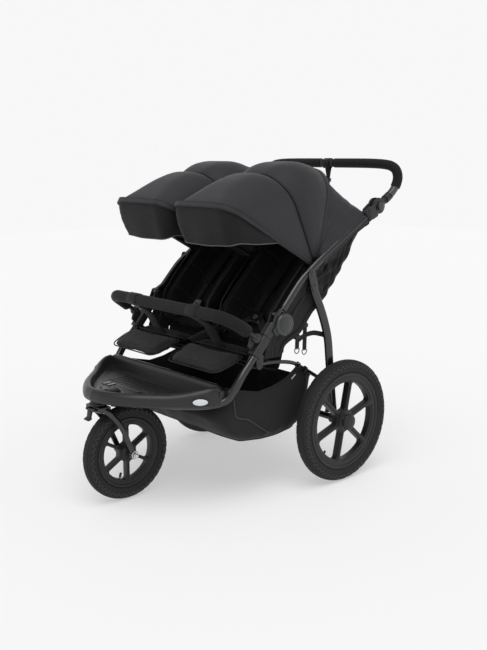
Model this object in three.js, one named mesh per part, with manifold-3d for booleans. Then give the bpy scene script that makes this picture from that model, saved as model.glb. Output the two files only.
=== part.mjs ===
// Side-by-side twin jogging stroller, millimetres, +Z up, forward is -Y, the child's left is +X.
// Everything is laid out from the rear axle (y = 0) and moved by AXLE_Y at the end.
import * as THREE from 'three';
import Module from 'manifold-3d';

const wasm = await Module();
wasm.setup();

// ---- driving dimensions ----
const AXLE_Y = 235.3;                // rear axle behind the middle of the object
const REAR_R = 203;                 // 16 inch rear tyre
const FRONT_R = 151;                // 12 inch front tyre
const REAR_X = 344;                 // rear wheel centre plane
const FRONT_AXLE = [-625, FRONT_R];
const STEER_Y = -720;               // steering axis, 95 mm of trail
const FRAME_X = 308;                // plane of the side tubes and the rear legs
const TUBE_R = 12.5;
const FOLD = [-272, 588];           // frame fold hinge
const LEG_TOP = [-133, 704];        // rear leg hinge on the upper tube
const STAY_PIN = [-350, 440];       // basket stay hinge on the side bracket
const STAY_END = [-18, 322];        // open end of the stay beside the rear leg
const STAY_BEND = [-152, 401];      // where the stay turns down along the basket
const KNUCKLE = [188, 898];         // handle angle joint
const CANOPY = [-85, 715];          // canopy pivot
const SEAT_X = 156;                 // seat centre
const SEAT_HALF = 126;
const BIGHT = [-246, 462];          // back rest hinge
const PAD_PIN = [-376, 468];        // leg rest hinge
const BUMPER_PIN = [-362, 526.5];
const GAP = 0.5;

// ---- small solid kit: a solid is {p: points, t: triangles} ----
const fix = (s) => {
  let v = 0;
  for (const [a, b, c] of s.t) {
    const [A, B, C] = [s.p[a], s.p[b], s.p[c]];
    v += A[0] * (B[1] * C[2] - B[2] * C[1]) - A[1] * (B[0] * C[2] - B[2] * C[0])
      + A[2] * (B[0] * C[1] - B[1] * C[0]);
  }
  return v < 0 ? { p: s.p, t: s.t.map(([a, b, c]) => [a, c, b]) } : s;
};
const move = (s, d) => ({ p: s.p.map((q) => [q[0] + d[0], q[1] + d[1], q[2] + d[2]]), t: s.t });
const mirror = (s) => ({ p: s.p.map((q) => [-q[0], q[1], q[2]]), t: s.t.map(([a, b, c]) => [a, c, b]) });
const toM = (s) => new wasm.Manifold(new wasm.Mesh({
  numProp: 3,
  vertProperties: Float32Array.from(s.p.flat()),
  triVerts: Uint32Array.from(s.t.flat()),
}));
const fromM = (m) => {
  const g = m.getMesh();
  const p = [];
  const t = [];
  for (let i = 0; i < g.vertProperties.length; i += g.numProp) {
    p.push([g.vertProperties[i], g.vertProperties[i + 1], g.vertProperties[i + 2]]);
  }
  for (let i = 0; i < g.triVerts.length; i += 3) {
    t.push([g.triVerts[i], g.triVerts[i + 1], g.triVerts[i + 2]]);
  }
  return { p, t };
};
const union = (...list) => fromM(list.map(toM).reduce((a, b) => a.add(b)));
const minus = (s, ...list) => fromM(list.map(toM).reduce((a, b) => a.subtract(b), toM(s)));

const sub = (a, b) => [a[0] - b[0], a[1] - b[1], a[2] - b[2]];
const dot = (a, b) => a[0] * b[0] + a[1] * b[1] + a[2] * b[2];
const cross = (a, b) => [a[1] * b[2] - a[2] * b[1], a[2] * b[0] - a[0] * b[2], a[0] * b[1] - a[1] * b[0]];
const unit = (a) => {
  const l = Math.hypot(a[0], a[1], a[2]);
  return [a[0] / l, a[1] / l, a[2] / l];
};
const rad = (d) => d * Math.PI / 180;
const polar = (o, r, deg) => [o[0] + r * Math.cos(rad(deg)), o[1] + r * Math.sin(rad(deg))];

const circle = (r, n = 10) => Array.from({ length: n }, (_, i) => {
  const a = (i + 0.5) * 2 * Math.PI / n;
  return [r * Math.cos(a), r * Math.sin(a)];
});
const oval = (a, b, n = 10) => circle(1, n).map(([u, v]) => [a * u, b * v]);
// the same path with both ends a little longer, for a bore that clears the tube's end faces
const longer = (path, d = 2) => {
  const end = (a, b) => {
    const k = unit(sub(a, b));
    return [a[0] + k[0] * d, a[1] + k[1] * d, a[2] + k[2] * d];
  };
  const m = path.length - 1;
  return [end(path[0], path[1]), ...path.slice(1, m), end(path[m], path[m - 1])];
};
const smooth = (pts, n) => new THREE.CatmullRomCurve3(
  pts.map((q) => new THREE.Vector3(...q)), false, 'centripetal').getPoints(n).map((v) => [v.x, v.y, v.z]);

// sweep a closed profile along a path; ref is the direction the profile's first axis leans to
const sweep = (path, profile, ref = [1, 0, 0]) => {
  const n = profile.length;
  const p = [];
  const t = [];
  path.forEach((c, i) => {
    const a = i ? unit(sub(c, path[i - 1])) : null;
    const b = i < path.length - 1 ? unit(sub(path[i + 1], c)) : null;
    const tan = unit(a && b ? [a[0] + b[0], a[1] + b[1], a[2] + b[2]] : a || b);
    const k = dot(ref, tan);
    const u = unit([ref[0] - k * tan[0], ref[1] - k * tan[1], ref[2] - k * tan[2]]);
    const v = cross(tan, u);
    for (const [x, y] of profile) {
      p.push([c[0] + x * u[0] + y * v[0], c[1] + x * u[1] + y * v[1], c[2] + x * u[2] + y * v[2]]);
    }
  });
  for (let i = 0; i < path.length - 1; i += 1) {
    for (let j = 0; j < n; j += 1) {
      const k = (j + 1) % n;
      const q = [i * n + j, i * n + k, (i + 1) * n + k, (i + 1) * n + j];
      t.push([q[0], q[1], q[2]], [q[0], q[2], q[3]]);
    }
  }
  const last = (path.length - 1) * n;
  for (let j = 1; j < n - 1; j += 1) {
    t.push([0, j + 1, j], [last, last + j, last + j + 1]);
  }
  return fix({ p, t });
};
// prism of a polygon; axis x takes (y, z) points, axis z takes (x, y) points
const prism = (points, lo, hi, axis = 'x') => {
  const flat = (pts) => pts.map((q) => new THREE.Vector2(q[0], q[1]));
  const poly = THREE.ShapeUtils.area(flat(points)) < 0 ? [...points].reverse() : points;
  const n = poly.length;
  const put = (q, h) => (axis === 'x' ? [h, q[0], q[1]] : [q[0], q[1], h]);
  const p = [...poly.map((q) => put(q, lo)), ...poly.map((q) => put(q, hi))];
  const t = [];
  for (const f of THREE.ShapeUtils.triangulateShape(flat(poly), [])) {
    const turned = THREE.ShapeUtils.area(flat(f.map((i) => poly[i]))) < 0;
    const [a, b, c] = turned ? [f[0], f[2], f[1]] : f;
    t.push([a, c, b], [n + a, n + b, n + c]);
  }
  for (let j = 0; j < n; j += 1) {
    const k = (j + 1) % n;
    t.push([j, k, n + k], [j, n + k, n + j]);
  }
  return fix({ p, t });
};
const box = (x0, x1, y0, y1, z0, z1) => prism([[y0, z0], [y1, z0], [y1, z1], [y0, z1]], x0, x1);
const disc = (c, r, x0, x1, n = 16) => prism(circle(r, n).map(([u, v]) => [c[0] + u, c[1] + v]), x0, x1);
const post = (c, r, z0, z1, n = 16) => prism(circle(r, n).map(([u, v]) => [c[0] + u, c[1] + v]), z0, z1, 'z');
// ring or spindle about an X axis through c: profile of [x, r], closed when ring is true
const turn = (profile, c, n, ring = true, phase = 0.5) => {
  const m = profile.length;
  const p = [];
  const t = [];
  for (let i = 0; i < n; i += 1) {
    const a = -Math.PI / 2 + (i + phase) * 2 * Math.PI / n;
    for (const [x, r] of profile) {
      p.push([x, c[0] + r * Math.cos(a), c[1] + r * Math.sin(a)]);
    }
  }
  for (let i = 0; i < n; i += 1) {
    const k = (i + 1) % n;
    for (let j = 0; j < (ring ? m : m - 1); j += 1) {
      const l = (j + 1) % m;
      const q = [i * m + j, i * m + l, k * m + l, k * m + j];
      t.push([q[0], q[1], q[2]], [q[0], q[2], q[3]]);
    }
  }
  if (!ring) {
    const e0 = p.push([profile[0][0], c[0], c[1]]) - 1;
    const e1 = p.push([profile[m - 1][0], c[0], c[1]]) - 1;
    for (let i = 0; i < n; i += 1) {
      const k = (i + 1) % n;
      t.push([e0, i * m, k * m], [e1, k * m + m - 1, i * m + m - 1]);
    }
  }
  return fix({ p, t });
};
// closed shell between two grids of the same size
const shell = (outer, inner) => {
  const r = outer.length;
  const c = outer[0].length;
  const p = [...outer.flat(), ...inner.flat()];
  const t = [];
  const id = (k, i, j) => k * r * c + i * c + j;
  const quad = (a, b, d, e) => t.push([a, b, d], [a, d, e]);
  for (let i = 0; i < r - 1; i += 1) {
    for (let j = 0; j < c - 1; j += 1) {
      quad(id(0, i, j), id(0, i + 1, j), id(0, i + 1, j + 1), id(0, i, j + 1));
      quad(id(1, i, j), id(1, i, j + 1), id(1, i + 1, j + 1), id(1, i + 1, j));
    }
  }
  for (let i = 0; i < r - 1; i += 1) {
    quad(id(0, i, 0), id(1, i, 0), id(1, i + 1, 0), id(0, i + 1, 0));
    quad(id(0, i, c - 1), id(0, i + 1, c - 1), id(1, i + 1, c - 1), id(1, i, c - 1));
  }
  for (let j = 0; j < c - 1; j += 1) {
    quad(id(0, 0, j), id(0, 0, j + 1), id(1, 0, j + 1), id(1, 0, j));
    quad(id(0, r - 1, j), id(1, r - 1, j), id(1, r - 1, j + 1), id(0, r - 1, j + 1));
  }
  return fix({ p, t });
};

// ---- materials and the group ----
const group = new THREE.Group();
const COLORS = {
  frame_metal: [0x3c3c3e, 0.75, 0.35],
  chrome: [0xd6d8da, 1, 0.12],
  steel: [0x9da0a3, 0.9, 0.3],
  plastic: [0x29292a, 0, 0.5],
  knob_grey: [0x8d9094, 0, 0.45],
  reflector: [0xcfd2d4, 0.1, 0.2],
  tyre: [0x2d2d2d, 0, 0.9],
  rim: [0x242425, 0, 0.5],
  foam: [0x1f1f20, 0, 0.9],
  fabric: [0x3b3b40, 0, 0.9],
  lining: [0x161617, 0, 0.95],
};
const add = (name, s, slot) => {
  const g = new THREE.BufferGeometry();
  g.setAttribute('position', new THREE.Float32BufferAttribute(
    s.p.flatMap((q) => [q[0], q[1] + AXLE_Y, q[2]]), 3));
  g.setIndex(s.t.flat());
  g.computeVertexNormals();
  const [color, metalness, roughness] = COLORS[slot];
  const mesh = new THREE.Mesh(g, new THREE.MeshStandardMaterial({ color, metalness, roughness }));
  mesh.name = name;
  mesh.material.name = slot;
  group.add(mesh);
};
const pair = (name, s, slot) => {
  add(`${name}_left`, s, slot);
  add(`${name}_right`, mirror(s), slot);
};
const at = (x, [y, z]) => [x, y, z];

// ---- lower frame: two side tubes that run in under the foot tray to the steering head ----
const lowerPath = smooth([
  [FRAME_X, -286, 558], [FRAME_X, -325, 515], [FRAME_X, -370, 461], [FRAME_X, -409, 419],
  [306, -440, 378], [297, -464, 349], [270, -500, 336], [150, -612, 333], [42, -699, 333],
], 14);
const lowerTube = sweep(lowerPath, circle(TUBE_R));
const lowerBore = sweep(longer(lowerPath), circle(TUBE_R + GAP));
pair('lower_tube', minus(lowerTube, post([0, STEER_Y], 25, 300, 380, 16)), 'frame_metal');

const STEER = [0, STEER_Y];
add('steering_head', minus(
  union(post(STEER, 24, 322.5, 366, 16), post(STEER, 28, 322.5, 328, 16)),
  post(STEER, 12.8, 300, 361, 14), lowerBore, mirror(lowerBore),
), 'plastic');

// ---- foot tray: D-shaped dish with a tall heel board along its rear edge ----
const trayHalf = [
  [0, -748], [45, -741], [90, -719], [135, -688], [185, -642], [235, -592],
  [268, -556], [290, -522], [300, -494], [300, -470],
];
const inset = (pts, d) => pts.map((q, i) => {
  const a = pts[Math.max(i - 1, 0)];
  const b = pts[Math.min(i + 1, pts.length - 1)];
  const l = Math.hypot(b[0] - a[0], b[1] - a[1]);
  const nx = i === 0 ? 0 : -(b[1] - a[1]) / l;
  const ny = i === 0 ? 1 : (b[0] - a[0]) / l;
  return [q[0] + nx * d, q[1] + ny * d];
});
const whole = (half) => [...half, ...half.slice(1).reverse().map((q) => [-q[0], q[1]])];
const lipTop = inset(trayHalf, 4);
const trayBody = prism(whole(trayHalf), 335, 373, 'z');
const heel = prism([[-492, 348], [-488, 392], [-470, 394], [-470, 348]], -296, 296);
const dish = prism(whole(inset(trayHalf, 20).map((q) => [q[0], Math.min(q[1], -493)])), 352, 400, 'z');
const under = prism(whole(inset(trayHalf, 5).map((q) => [q[0], Math.min(q[1], -460)])), 300, 348, 'z');
let tray = minus(union(trayBody, heel), dish, under);
tray = union(tray, post(STEER, 29, 348, 373, 16));
for (const x of [-96, -72, 72, 96]) {
  tray = minus(tray, box(x - 7, x + 7, -640, -610, 340, 360));
}
tray = minus(tray, post(STEER, 24.8, 300, 367, 16), lowerBore, mirror(lowerBore));
add('foot_tray', tray, 'plastic');
const reflectorAt = [[250.5, -575], [284, -531]];
const rt = unit([reflectorAt[1][0] - reflectorAt[0][0], reflectorAt[1][1] - reflectorAt[0][1], 0]);
const rc = [274.5, -545, 355];
const rOut = [rt[1], -rt[0], 0];
const reflect = sweep([
  [rc[0] + rOut[0] * 3.2, rc[1] + rOut[1] * 3.2, rc[2]],
  [rc[0] + rOut[0] * 7, rc[1] + rOut[1] * 7, rc[2]],
], oval(12, 25, 14), [0, 0, 1]);
pair('reflector', reflect, 'reflector');

// ---- side bracket on the lower tube: clamp, bumper lug, stay fork and the round fold-lock cover ----
const clampPath = smooth([[FRAME_X, -320, 521], [FRAME_X, -342, 496], [FRAME_X, -364, 469]], 2);
const clamp = sweep(clampPath, [[16, -17], [16, 17], [-15, 17], [-15, -17]]);
const lug = prism([[-372, 486], [-346, 506], [-349, 527], [-354, 536], [-362, 540], [-370, 536],
  [-375, 527], [-384, 500]], 300, 308);
const ear = prism([[-334, 474], [-364, 466], [-363, 440], [-359, 430], [-350, 427], [-341, 430], [-336, 440]],
  296, 300);
const earOut = prism([[-334, 474], [-364, 466], [-363, 440], [-359, 430], [-350, 427], [-341, 430], [-336, 440]],
  316, 320);
pair('side_bracket', minus(
  union(clamp, lug, ear, earOut, disc(STAY_PIN, 4, 298, 318, 12)),
  lowerBore, disc(BUMPER_PIN, 5.6, 290, 330, 12),
), 'plastic');
const lockDisc = union(
  turn([[321.5, 35], [329, 33], [333, 22]], [-252, 555], 20, false),
  prism([[-300, 540], [-282, 520], [-262, 535], [-262, 565], [-276, 566]], 321.5, 325),
);
pair('fold_lock', lockDisc, 'knob_grey');

// ---- fold hinge: fork on the lower tube, tongue on the upper tube ----
const hingeSide = [[-312, 530], [-296, 522], [-276, 546], [-264, 580], [-264, 592], [-272, 598], [-282, 594]];
const hingeFork = union(
  sweep([[FRAME_X, -289, 555], [FRAME_X, -318, 523]], [[13.2, -15.5], [13.2, 16.5], [-13, 16.5], [-13, -15.5]]),
  prism(hingeSide, 316.5, 321),
  prism(hingeSide, 295, 299),
  disc(FOLD, 4.5, 297, 319, 12),
);
pair('fold_hinge', minus(hingeFork, lowerBore), 'plastic');

// ---- upper side tube ----
const upperPath = smooth([
  [FRAME_X, -247, 597], [FRAME_X, -229, 616], [FRAME_X, -168, 679], [FRAME_X, -133, 704],
  [FRAME_X, -90, 733], [FRAME_X, 40, 809], [FRAME_X, 140, 866.5], [FRAME_X, 164, 881.5],
], 10);
const tongue = union(
  sweep(upperPath, circle(TUBE_R)),
  prism([[-272, 599], [-282, 592], [-283, 584], [-277, 577], [-268, 575], [-240, 594], [-222, 614],
    [-232, 624], [-252, 606]],
    299.5, 316),
);
pair('upper_tube', minus(tongue, disc(FOLD, 5, 290, 330, 14), disc(LEG_TOP, 5, 290, 330, 14)), 'frame_metal');

// ---- handle joint housings and the folding handle ----
const shellOut = union(
  disc(KNUCKLE, 27, 292, 299.5), disc(KNUCKLE, 27, 316.5, 324),
  disc(KNUCKLE, 8, 295, 322, 12),
  sweep([[FRAME_X, 134, 863.5], [FRAME_X, 164, 881.5]], [[16, -18], [16, 18], [-16, 18], [-16, -18]]),
  prism([[156, 855], [180, 868], [158, 905], [136, 888]], 292, 299.5),
  prism([[156, 855], [180, 868], [158, 905], [136, 888]], 316.5, 324),
);
const upperBore = sweep([...upperPath.slice(0, -1), [FRAME_X, 166, 882.75]], circle(TUBE_R + GAP + 0.1));
pair('handle_joint', minus(shellOut, upperBore, disc(KNUCKLE, 4.6, 305, 330)), 'plastic');
pair('tilt_button', turn([[319.5, 3.6], [327, 3.6], [327, 14], [331, 13], [334, 8]], KNUCKLE, 14, false),
  'knob_grey');

const handlePath = smooth([
  [FRAME_X, 223, 913.5], [FRAME_X, 238, 921], [309, 268, 943], [312, 283.5, 966], [313.5, 288.8, 990],
  [306, 288.8, 1013], [288, 287, 1026.5], [262, 285.5, 1032], [215, 284, 1035], [34, 283, 1036], [0, 283, 1036],
], 15);
const handleWhole = [...handlePath, ...handlePath.slice(0, -1).reverse().map((q) => [-q[0], q[1], q[2]])];
const knob = minus(
  union(disc(KNUCKLE, 22, 300, 316),
    sweep([at(FRAME_X, polar(KNUCKLE, 10, 24)), [FRAME_X, 228, 916]], [[8, -9], [8, 9], [-8, 9], [-8, -9]])),
  disc(KNUCKLE, 8.5, 290, 330, 16),
);
add('handle_tube', union(sweep(handleWhole, circle(10.5), [0, -1, 0.2]), knob, mirror(knob)), 'frame_metal');
const foamStart = handlePath.findIndex((q) => q[2] > 958);
const foamPath = [...handlePath.slice(foamStart).filter((q) => q[0] > 34), [34, 283, 1036]];
const grip = minus(sweep(foamPath, circle(16.5), [0, -1, 0.2]), sweep(handlePath, circle(11.15), [0, -1, 0.2]));
pair('grip', grip, 'foam');
add('handle_clip', minus(
  sweep([[-30, 283, 1036], [30, 283, 1036]], [[19, -17], [19, 17], [-17, 17], [-17, -17]], [0, 1, 0]),
  sweep([[40, 283, 1036], [-40, 283, 1036]], circle(11.2), [0, -1, 0.2]),
  box(-14, 14, 290, 299, 1000, 1060),
), 'plastic');

// ---- cross tube behind the canopies ----
add('rear_cross_tube', sweep([[-291, 146, 868], [291, 146, 868]], circle(10), [0, 0, 1]), 'frame_metal');
add('front_cross_tube', sweep([[-294.5, -361, 436], [294.5, -361, 436]], circle(9), [0, 0, 1]), 'frame_metal');

// ---- rear legs, axle, stays ----
const legPath = smooth([
  [FRAME_X, -118, 678], [FRAME_X, -105, 640], [FRAME_X, -66, 560], [FRAME_X, -40, 484],
  [FRAME_X, -27, 386], [FRAME_X, -12, 280], [FRAME_X, 0, 203],
], 9);
const plate = [[-141, 716], [-126, 716], [-118, 704], [-104, 660], [-106, 640], [-122, 642], [-138, 668],
  [-148, 700]];
const leg = minus(
  union(
    sweep(legPath, oval(8.5, 15)), prism(plate, 321, 324), prism(plate, 292, 295),
    prism([[-122, 672], [-106, 668], [-104, 645], [-118, 645]], 292, 324),
    disc(LEG_TOP, 4.5, 293, 326, 12), disc([0, 203], 19, 298, 317, 14),
  ),
  sweep([[200, 0, 203], [330, 0, 203]], circle(11.6, 12), [0, 0, 1]),
);
pair('rear_leg', leg, 'frame_metal');
add('rear_axle', union(
  sweep([[-318, 0, 203], [318, 0, 203]], circle(11, 12), [0, 0, 1]),
  sweep([[-378, 0, 203], [378, 0, 203]], circle(6, 12), [0, 0, 1]),
), 'steel');
const stay = minus(
  union(
    sweep([at(FRAME_X, STAY_PIN), [FRAME_X, -300, 440], [FRAME_X, -225, 430], [305, -185, 418],
      at(296, STAY_BEND), [292.5, -124, 386], at(292.5, STAY_END)], oval(5, 6.5)),
    disc(STAY_PIN, 10, 303, 313, 14),
    disc(STAY_END, 11, 288.5, 296.5, 14),
  ),
  disc(STAY_PIN, 4.6, 290, 330, 16),
);
pair('basket_stay', stay, 'frame_metal');

// sprung bolts of the parking brake, one beside each rear hub
const spool = [];
for (let i = 0; i <= 6; i += 1) {
  spool.push([9.5, 228 + i * 7], [6.5, 231.5 + i * 7]);
}
const upright = (prof, c, n) => {
  const s = turn(prof.map(([r, z]) => [z, r]), [0, 0], n, false);
  return { p: s.p.map(([x, y, z]) => [c[0] + y, c[1] + z, x]), t: s.t };
};
pair('brake_spring', fix(upright([[9.5, 219], [9.5, 225], ...spool, [9.5, 277], [9.5, 283]], [283, -4], 10)), 'steel');
// foot brake bar hinged on the axle
add('brake_pedal', minus(
  union(sweep([[-60, 0, 203], [60, 0, 203]], circle(17, 12), [0, 0, 1]),
    prism([[6, 216], [70, 232], [74, 224], [14, 208]], -48, 48)),
  sweep([[-70, 0, 203], [70, 0, 203]], circle(11.6, 12), [0, 0, 1]),
), 'plastic');

// ---- wheels ----
const tyreProfile = (w, R) => {
  const k = R / Math.cos(Math.PI / 24);
  return [[-0.4 * w, k], [0.4 * w, k], [0.88 * w, k - 0.36 * w], [0.98 * w, k - 1.1 * w],
    [0.62 * w, k - 1.85 * w], [-0.62 * w, k - 1.85 * w], [-0.98 * w, k - 1.1 * w], [-0.88 * w, k - 0.36 * w]];
};
const shift = (prof, x) => prof.map(([a, r]) => [a + x, r]);
const rimOf = (x, c, R, w, rimR, hubR, hubL, bore) => {
  const inR = R / Math.cos(Math.PI / 24) - 1.85 * w - 0.6;
  const bead = 0.62 * w;
  const ring = turn(shift([[-bead - 3, rimR], [-bead - 3, rimR - 9], [bead + 3, rimR - 9],
    [bead + 3, rimR], [bead + 0.6, inR], [-bead - 0.6, inR]], x), c, 24);
  const parts = [turn(shift([[-hubL, hubR * 0.62], [-9, hubR], [9, hubR], [hubL, hubR * 0.62]], x), c, 12, false), ring];
  for (let i = 0; i < 6; i += 1) {
    const a = -90 + i * 60;
    parts.push(sweep([at(x, polar(c, hubR - 8, a)), at(x, polar(c, rimR - 7, a))],
      oval(9, 0.052 * rimR + 3, 6)));
  }
  return minus(union(...parts), disc(c, bore, x - 90, x + 90, 12));
};
const rearC = [0, REAR_R];
pair('rear_tyre', turn(shift(tyreProfile(22, REAR_R), REAR_X), rearC, 24), 'tyre');
pair('rear_rim', rimOf(REAR_X, rearC, REAR_R, 22, 161, 32, 25, 6.8), 'rim');
pair('hub_cap', minus(
  turn([[371, 27], [377, 27], [382, 23], [384, 12]], rearC, 18, false),
  disc(rearC, 6.8, 360, 379, 12),
), 'plastic');
add('front_tyre', turn(tyreProfile(21, FRONT_R), FRONT_AXLE, 24), 'tyre');
add('front_rim', rimOf(0, FRONT_AXLE, FRONT_R, 21, 111, 27, 27, 5.5), 'rim');

// ---- fork, front axle and the swivel lock lever ----
const forkLeg = smooth([[34, -716, 312], [41, -712, 304], [45, -688, 276], [44, -662, 238], [42, -642, 190],
  [41, -625, 151]], 6);
const forkBlade = sweep(forkLeg, oval(6, 12, 8));
const forkEnd = disc(FRONT_AXLE, 15, 35, 47, 12);
add('fork', minus(
  union(
    prism([[-741, 306], [-736, 302], [-704, 302], [-699, 306], [-699, 321], [-741, 321]], -40, 40),
    post(STEER, 12, 310, 358, 14), forkBlade, mirror(forkBlade), forkEnd, mirror(forkEnd),
    prism([[-741, 306], [-741, 318], [-752, 318], [-755, 312], [-752, 306]], -20, -10),
    prism([[-741, 306], [-741, 318], [-752, 318], [-755, 312], [-752, 306]], 10, 20),
    disc([-749, 312], 2.4, -15, 15, 10),
  ),
  disc(FRONT_AXLE, 5.6, -80, 80, 12),
), 'frame_metal');
add('swivel_lock', minus(
  union(prism([[-752, 316], [-746, 316], [-745, 308], [-751, 286], [-757, 287], [-754, 308]], -9, 9),
    prism([[-751, 290], [-757, 287], [-766, 283], [-764, 279], [-752, 283]], -13, 13)),
  disc([-749, 312], 2.9, -20, 20, 10),
), 'plastic');
add('front_axle', union(
  sweep([[-54, ...FRONT_AXLE], [54, ...FRONT_AXLE]], circle(5, 12), [0, 0, 1]),
  turn([[47.5, 12], [54, 12], [60, 9], [62, 5]], FRONT_AXLE, 12, false),
  turn([[-62, 5], [-60, 9], [-54, 12], [-47.5, 12]], FRONT_AXLE, 12, false),
), 'chrome');

// ---- seats: cushion, hammock back with side wings, leg rest pad ----
const s0 = SEAT_X - SEAT_HALF;
const s1 = SEAT_X + SEAT_HALF;
const cushion = prism([[-372, 456], [-340, 445], [-262, 415], [-256, 420], [-258, 444], [-330, 470], [-368, 483],
  [-374, 476]], s0, s1);
pair('seat_cushion', cushion, 'lining');
// back: rows up the back line, columns across; wings come forward at the sides
const backRows = [];
const backFront = [];
const DIR = [0.694, 0.72];
const NRM = [-0.72, 0.694];
for (let i = 0; i <= 6; i += 1) {
  const s = 8 + i * 76;
  const c = [BIGHT[0] + DIR[0] * s, BIGHT[1] + DIR[1] * s];
  const wing = [34, 82, 88, 88, 84, 66, 30][i];
  const rows = [];
  const front = [];
  const across = [[0, 1], [0.07, 0.95], [0.16, 0.35], [0.32, 0.06], [0.5, 0], [0.68, 0.06], [0.84, 0.35],
    [0.93, 0.95], [1, 1]];
  across.forEach(([u, w]) => {
    const x = s0 + u * 2 * SEAT_HALF;
    const edge = u < 0.01 || u > 0.99;
    const xx = SEAT_X + (x - SEAT_X) * (u <= 0.07 || u >= 0.93 ? 1 : 0.97);
    const lift = (edge ? 8 : 18) + w * wing;
    const back = 0.72 * w * wing;
    rows.push([xx, c[0] + NRM[0] * back, c[1] + NRM[1] * back]);
    front.push([xx, c[0] + NRM[0] * lift, c[1] + NRM[1] * lift]);
  });
  backRows.push(rows);
  backFront.push(front);
}
pair('seat_back', shell(backFront, backRows), 'lining');

const pad = prism([[-384, 478], [-390, 484], [-440, 466], [-484, 446], [-496, 434], [-496, 424], [-484, 418],
  [-440, 432], [-392, 450], [-384, 458]], SEAT_X - 135, SEAT_X + 135);
pair('leg_rest', pad, 'fabric');

// ---- canopies: three nested shells about the canopy pivot ----
const bowGrid = (angles, halfW, cx, lift) => angles.map(([deg, r, corner]) => {
  const rows = [];
  const hi = r + lift;
  const half = halfW;
  const pts = [[-half, 40], [-half, hi * 0.55], [-half, hi - corner]];
  for (const a of [30, 60]) {
    pts.push([-half + corner * (1 - Math.cos(rad(a))), hi - corner + corner * Math.sin(rad(a))]);
  }
  pts.push([-half + corner, hi], [0, hi + 2], [half - corner, hi]);
  for (const a of [60, 30]) {
    pts.push([half - corner * (1 - Math.cos(rad(a))), hi - corner + corner * Math.sin(rad(a))]);
  }
  pts.push([half, hi - corner], [half, hi * 0.55], [half, 40]);
  for (const [x, d] of pts) {
    const [y, z] = polar(CANOPY, d, deg);
    rows.push([cx + x, y, z]);
  }
  return rows;
});
const hood = (angles, halfW, lift, thick) => shell(
  bowGrid(angles, halfW, SEAT_X, lift), bowGrid(angles, halfW - thick, SEAT_X, lift - thick));
pair('canopy_rear', shell(
  bowGrid([[76, 303, 96], [57, 283, 92], [42, 281, 86]], 131.5, SEAT_X, 0),
  bowGrid([[76, 303, 96], [57, 283, 92], [42, 281, 86]], 129.3, SEAT_X, -2.2)), 'fabric');
pair('canopy_mid', hood([[115, 305, 100], [103, 311, 100], [90, 311, 100], [77.5, 305, 100]], 135, 3, 2.2),
  'fabric');
const frontHood = hood([[152, 413, 96], [141, 392, 98], [130, 366, 100], [121, 337, 100], [116.3, 313.7, 100]],
  139, 6, 2.3);
pair('canopy_front', frontHood, 'fabric');
// visor flap that hangs from the front bow
const visorGrid = (o) => [0, 0.5, 1].map((v) => [-1, -0.72, -0.36, 0, 0.36, 0.72, 1].map((u) => {
  const drop = v * (116 - 22 * u * u);
  const bow = 16 * u * u * u * u;
  const top = polar(CANOPY, 421 - bow, 152.2);
  const side = Math.abs(u) > 0.99 ? 26 : 0;
  return [SEAT_X + u * 132, top[0] - 1.5 + o + v * -10 + side * 0, top[1] - 3 - bow * 2 - drop];
}));
pair('visor', shell(visorGrid(-3), visorGrid(-0.6)), 'lining');

// ---- bumper bar ----
const barHalf = smooth([
  [FRAME_X + 6, BUMPER_PIN[0], BUMPER_PIN[1]], [FRAME_X + 5, -384, 543], [FRAME_X, -420, 568],
  [296, -448, 586], [268, -464, 596], [230, -468, 598], [0, -468, 598],
], 11);
const bar = [...barHalf, ...barHalf.slice(0, -1).reverse().map((q) => [-q[0], q[1], q[2]])];
const barEye = union(disc(BUMPER_PIN, 15, 311, 322, 14), disc(BUMPER_PIN, 4.9, 298, 322, 12));
const barSolid = sweep(bar.map((q, i) => (i === 0 || i === bar.length - 1
  ? [Math.sign(q[0]) * 317, q[1], q[2]] : q)), circle(5.2, 8), [0, 0, 1]);
add('bumper_bar', union(barSolid, barEye, mirror(barEye)), 'plastic');
const foamBar = bar.filter((q) => q[1] < -392);
add('bumper_foam', minus(sweep(foamBar, circle(19, 12), [0, 0, 1]), sweep(bar, circle(6, 8), [0, 0, 1])),
  'foam');

// ---- basket under the seats ----
const bw = 284;
const basketOut = [[-436, 372], [-470, 316], [-488, 262], [-434, 220], [-388, 201], [-300, 189], [-236, 188],
  [-119, 202], [-96, 270], [-80, 346], [-150, 389], [-235, 356], [-325, 349], [-399, 366]];
const basketIn = [[-432, 500], [-432, 370], [-464, 316], [-481, 263], [-432, 225], [-387, 206], [-300, 194],
  [-236, 193], [-123, 207], [-101, 271], [-86, 344], [-86, 500]];
add('basket', minus(prism(basketOut, -bw, bw), prism(basketIn, -bw + 4, bw - 4)), 'fabric');

export default group;
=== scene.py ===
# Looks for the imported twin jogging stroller. Lengths are in millimetres from the rear axle until V() puts
# them in the row frame; forward is -Y and the child's left is +X.
import math
import bmesh
import bpy
import numpy as np
from mathutils import Matrix


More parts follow.
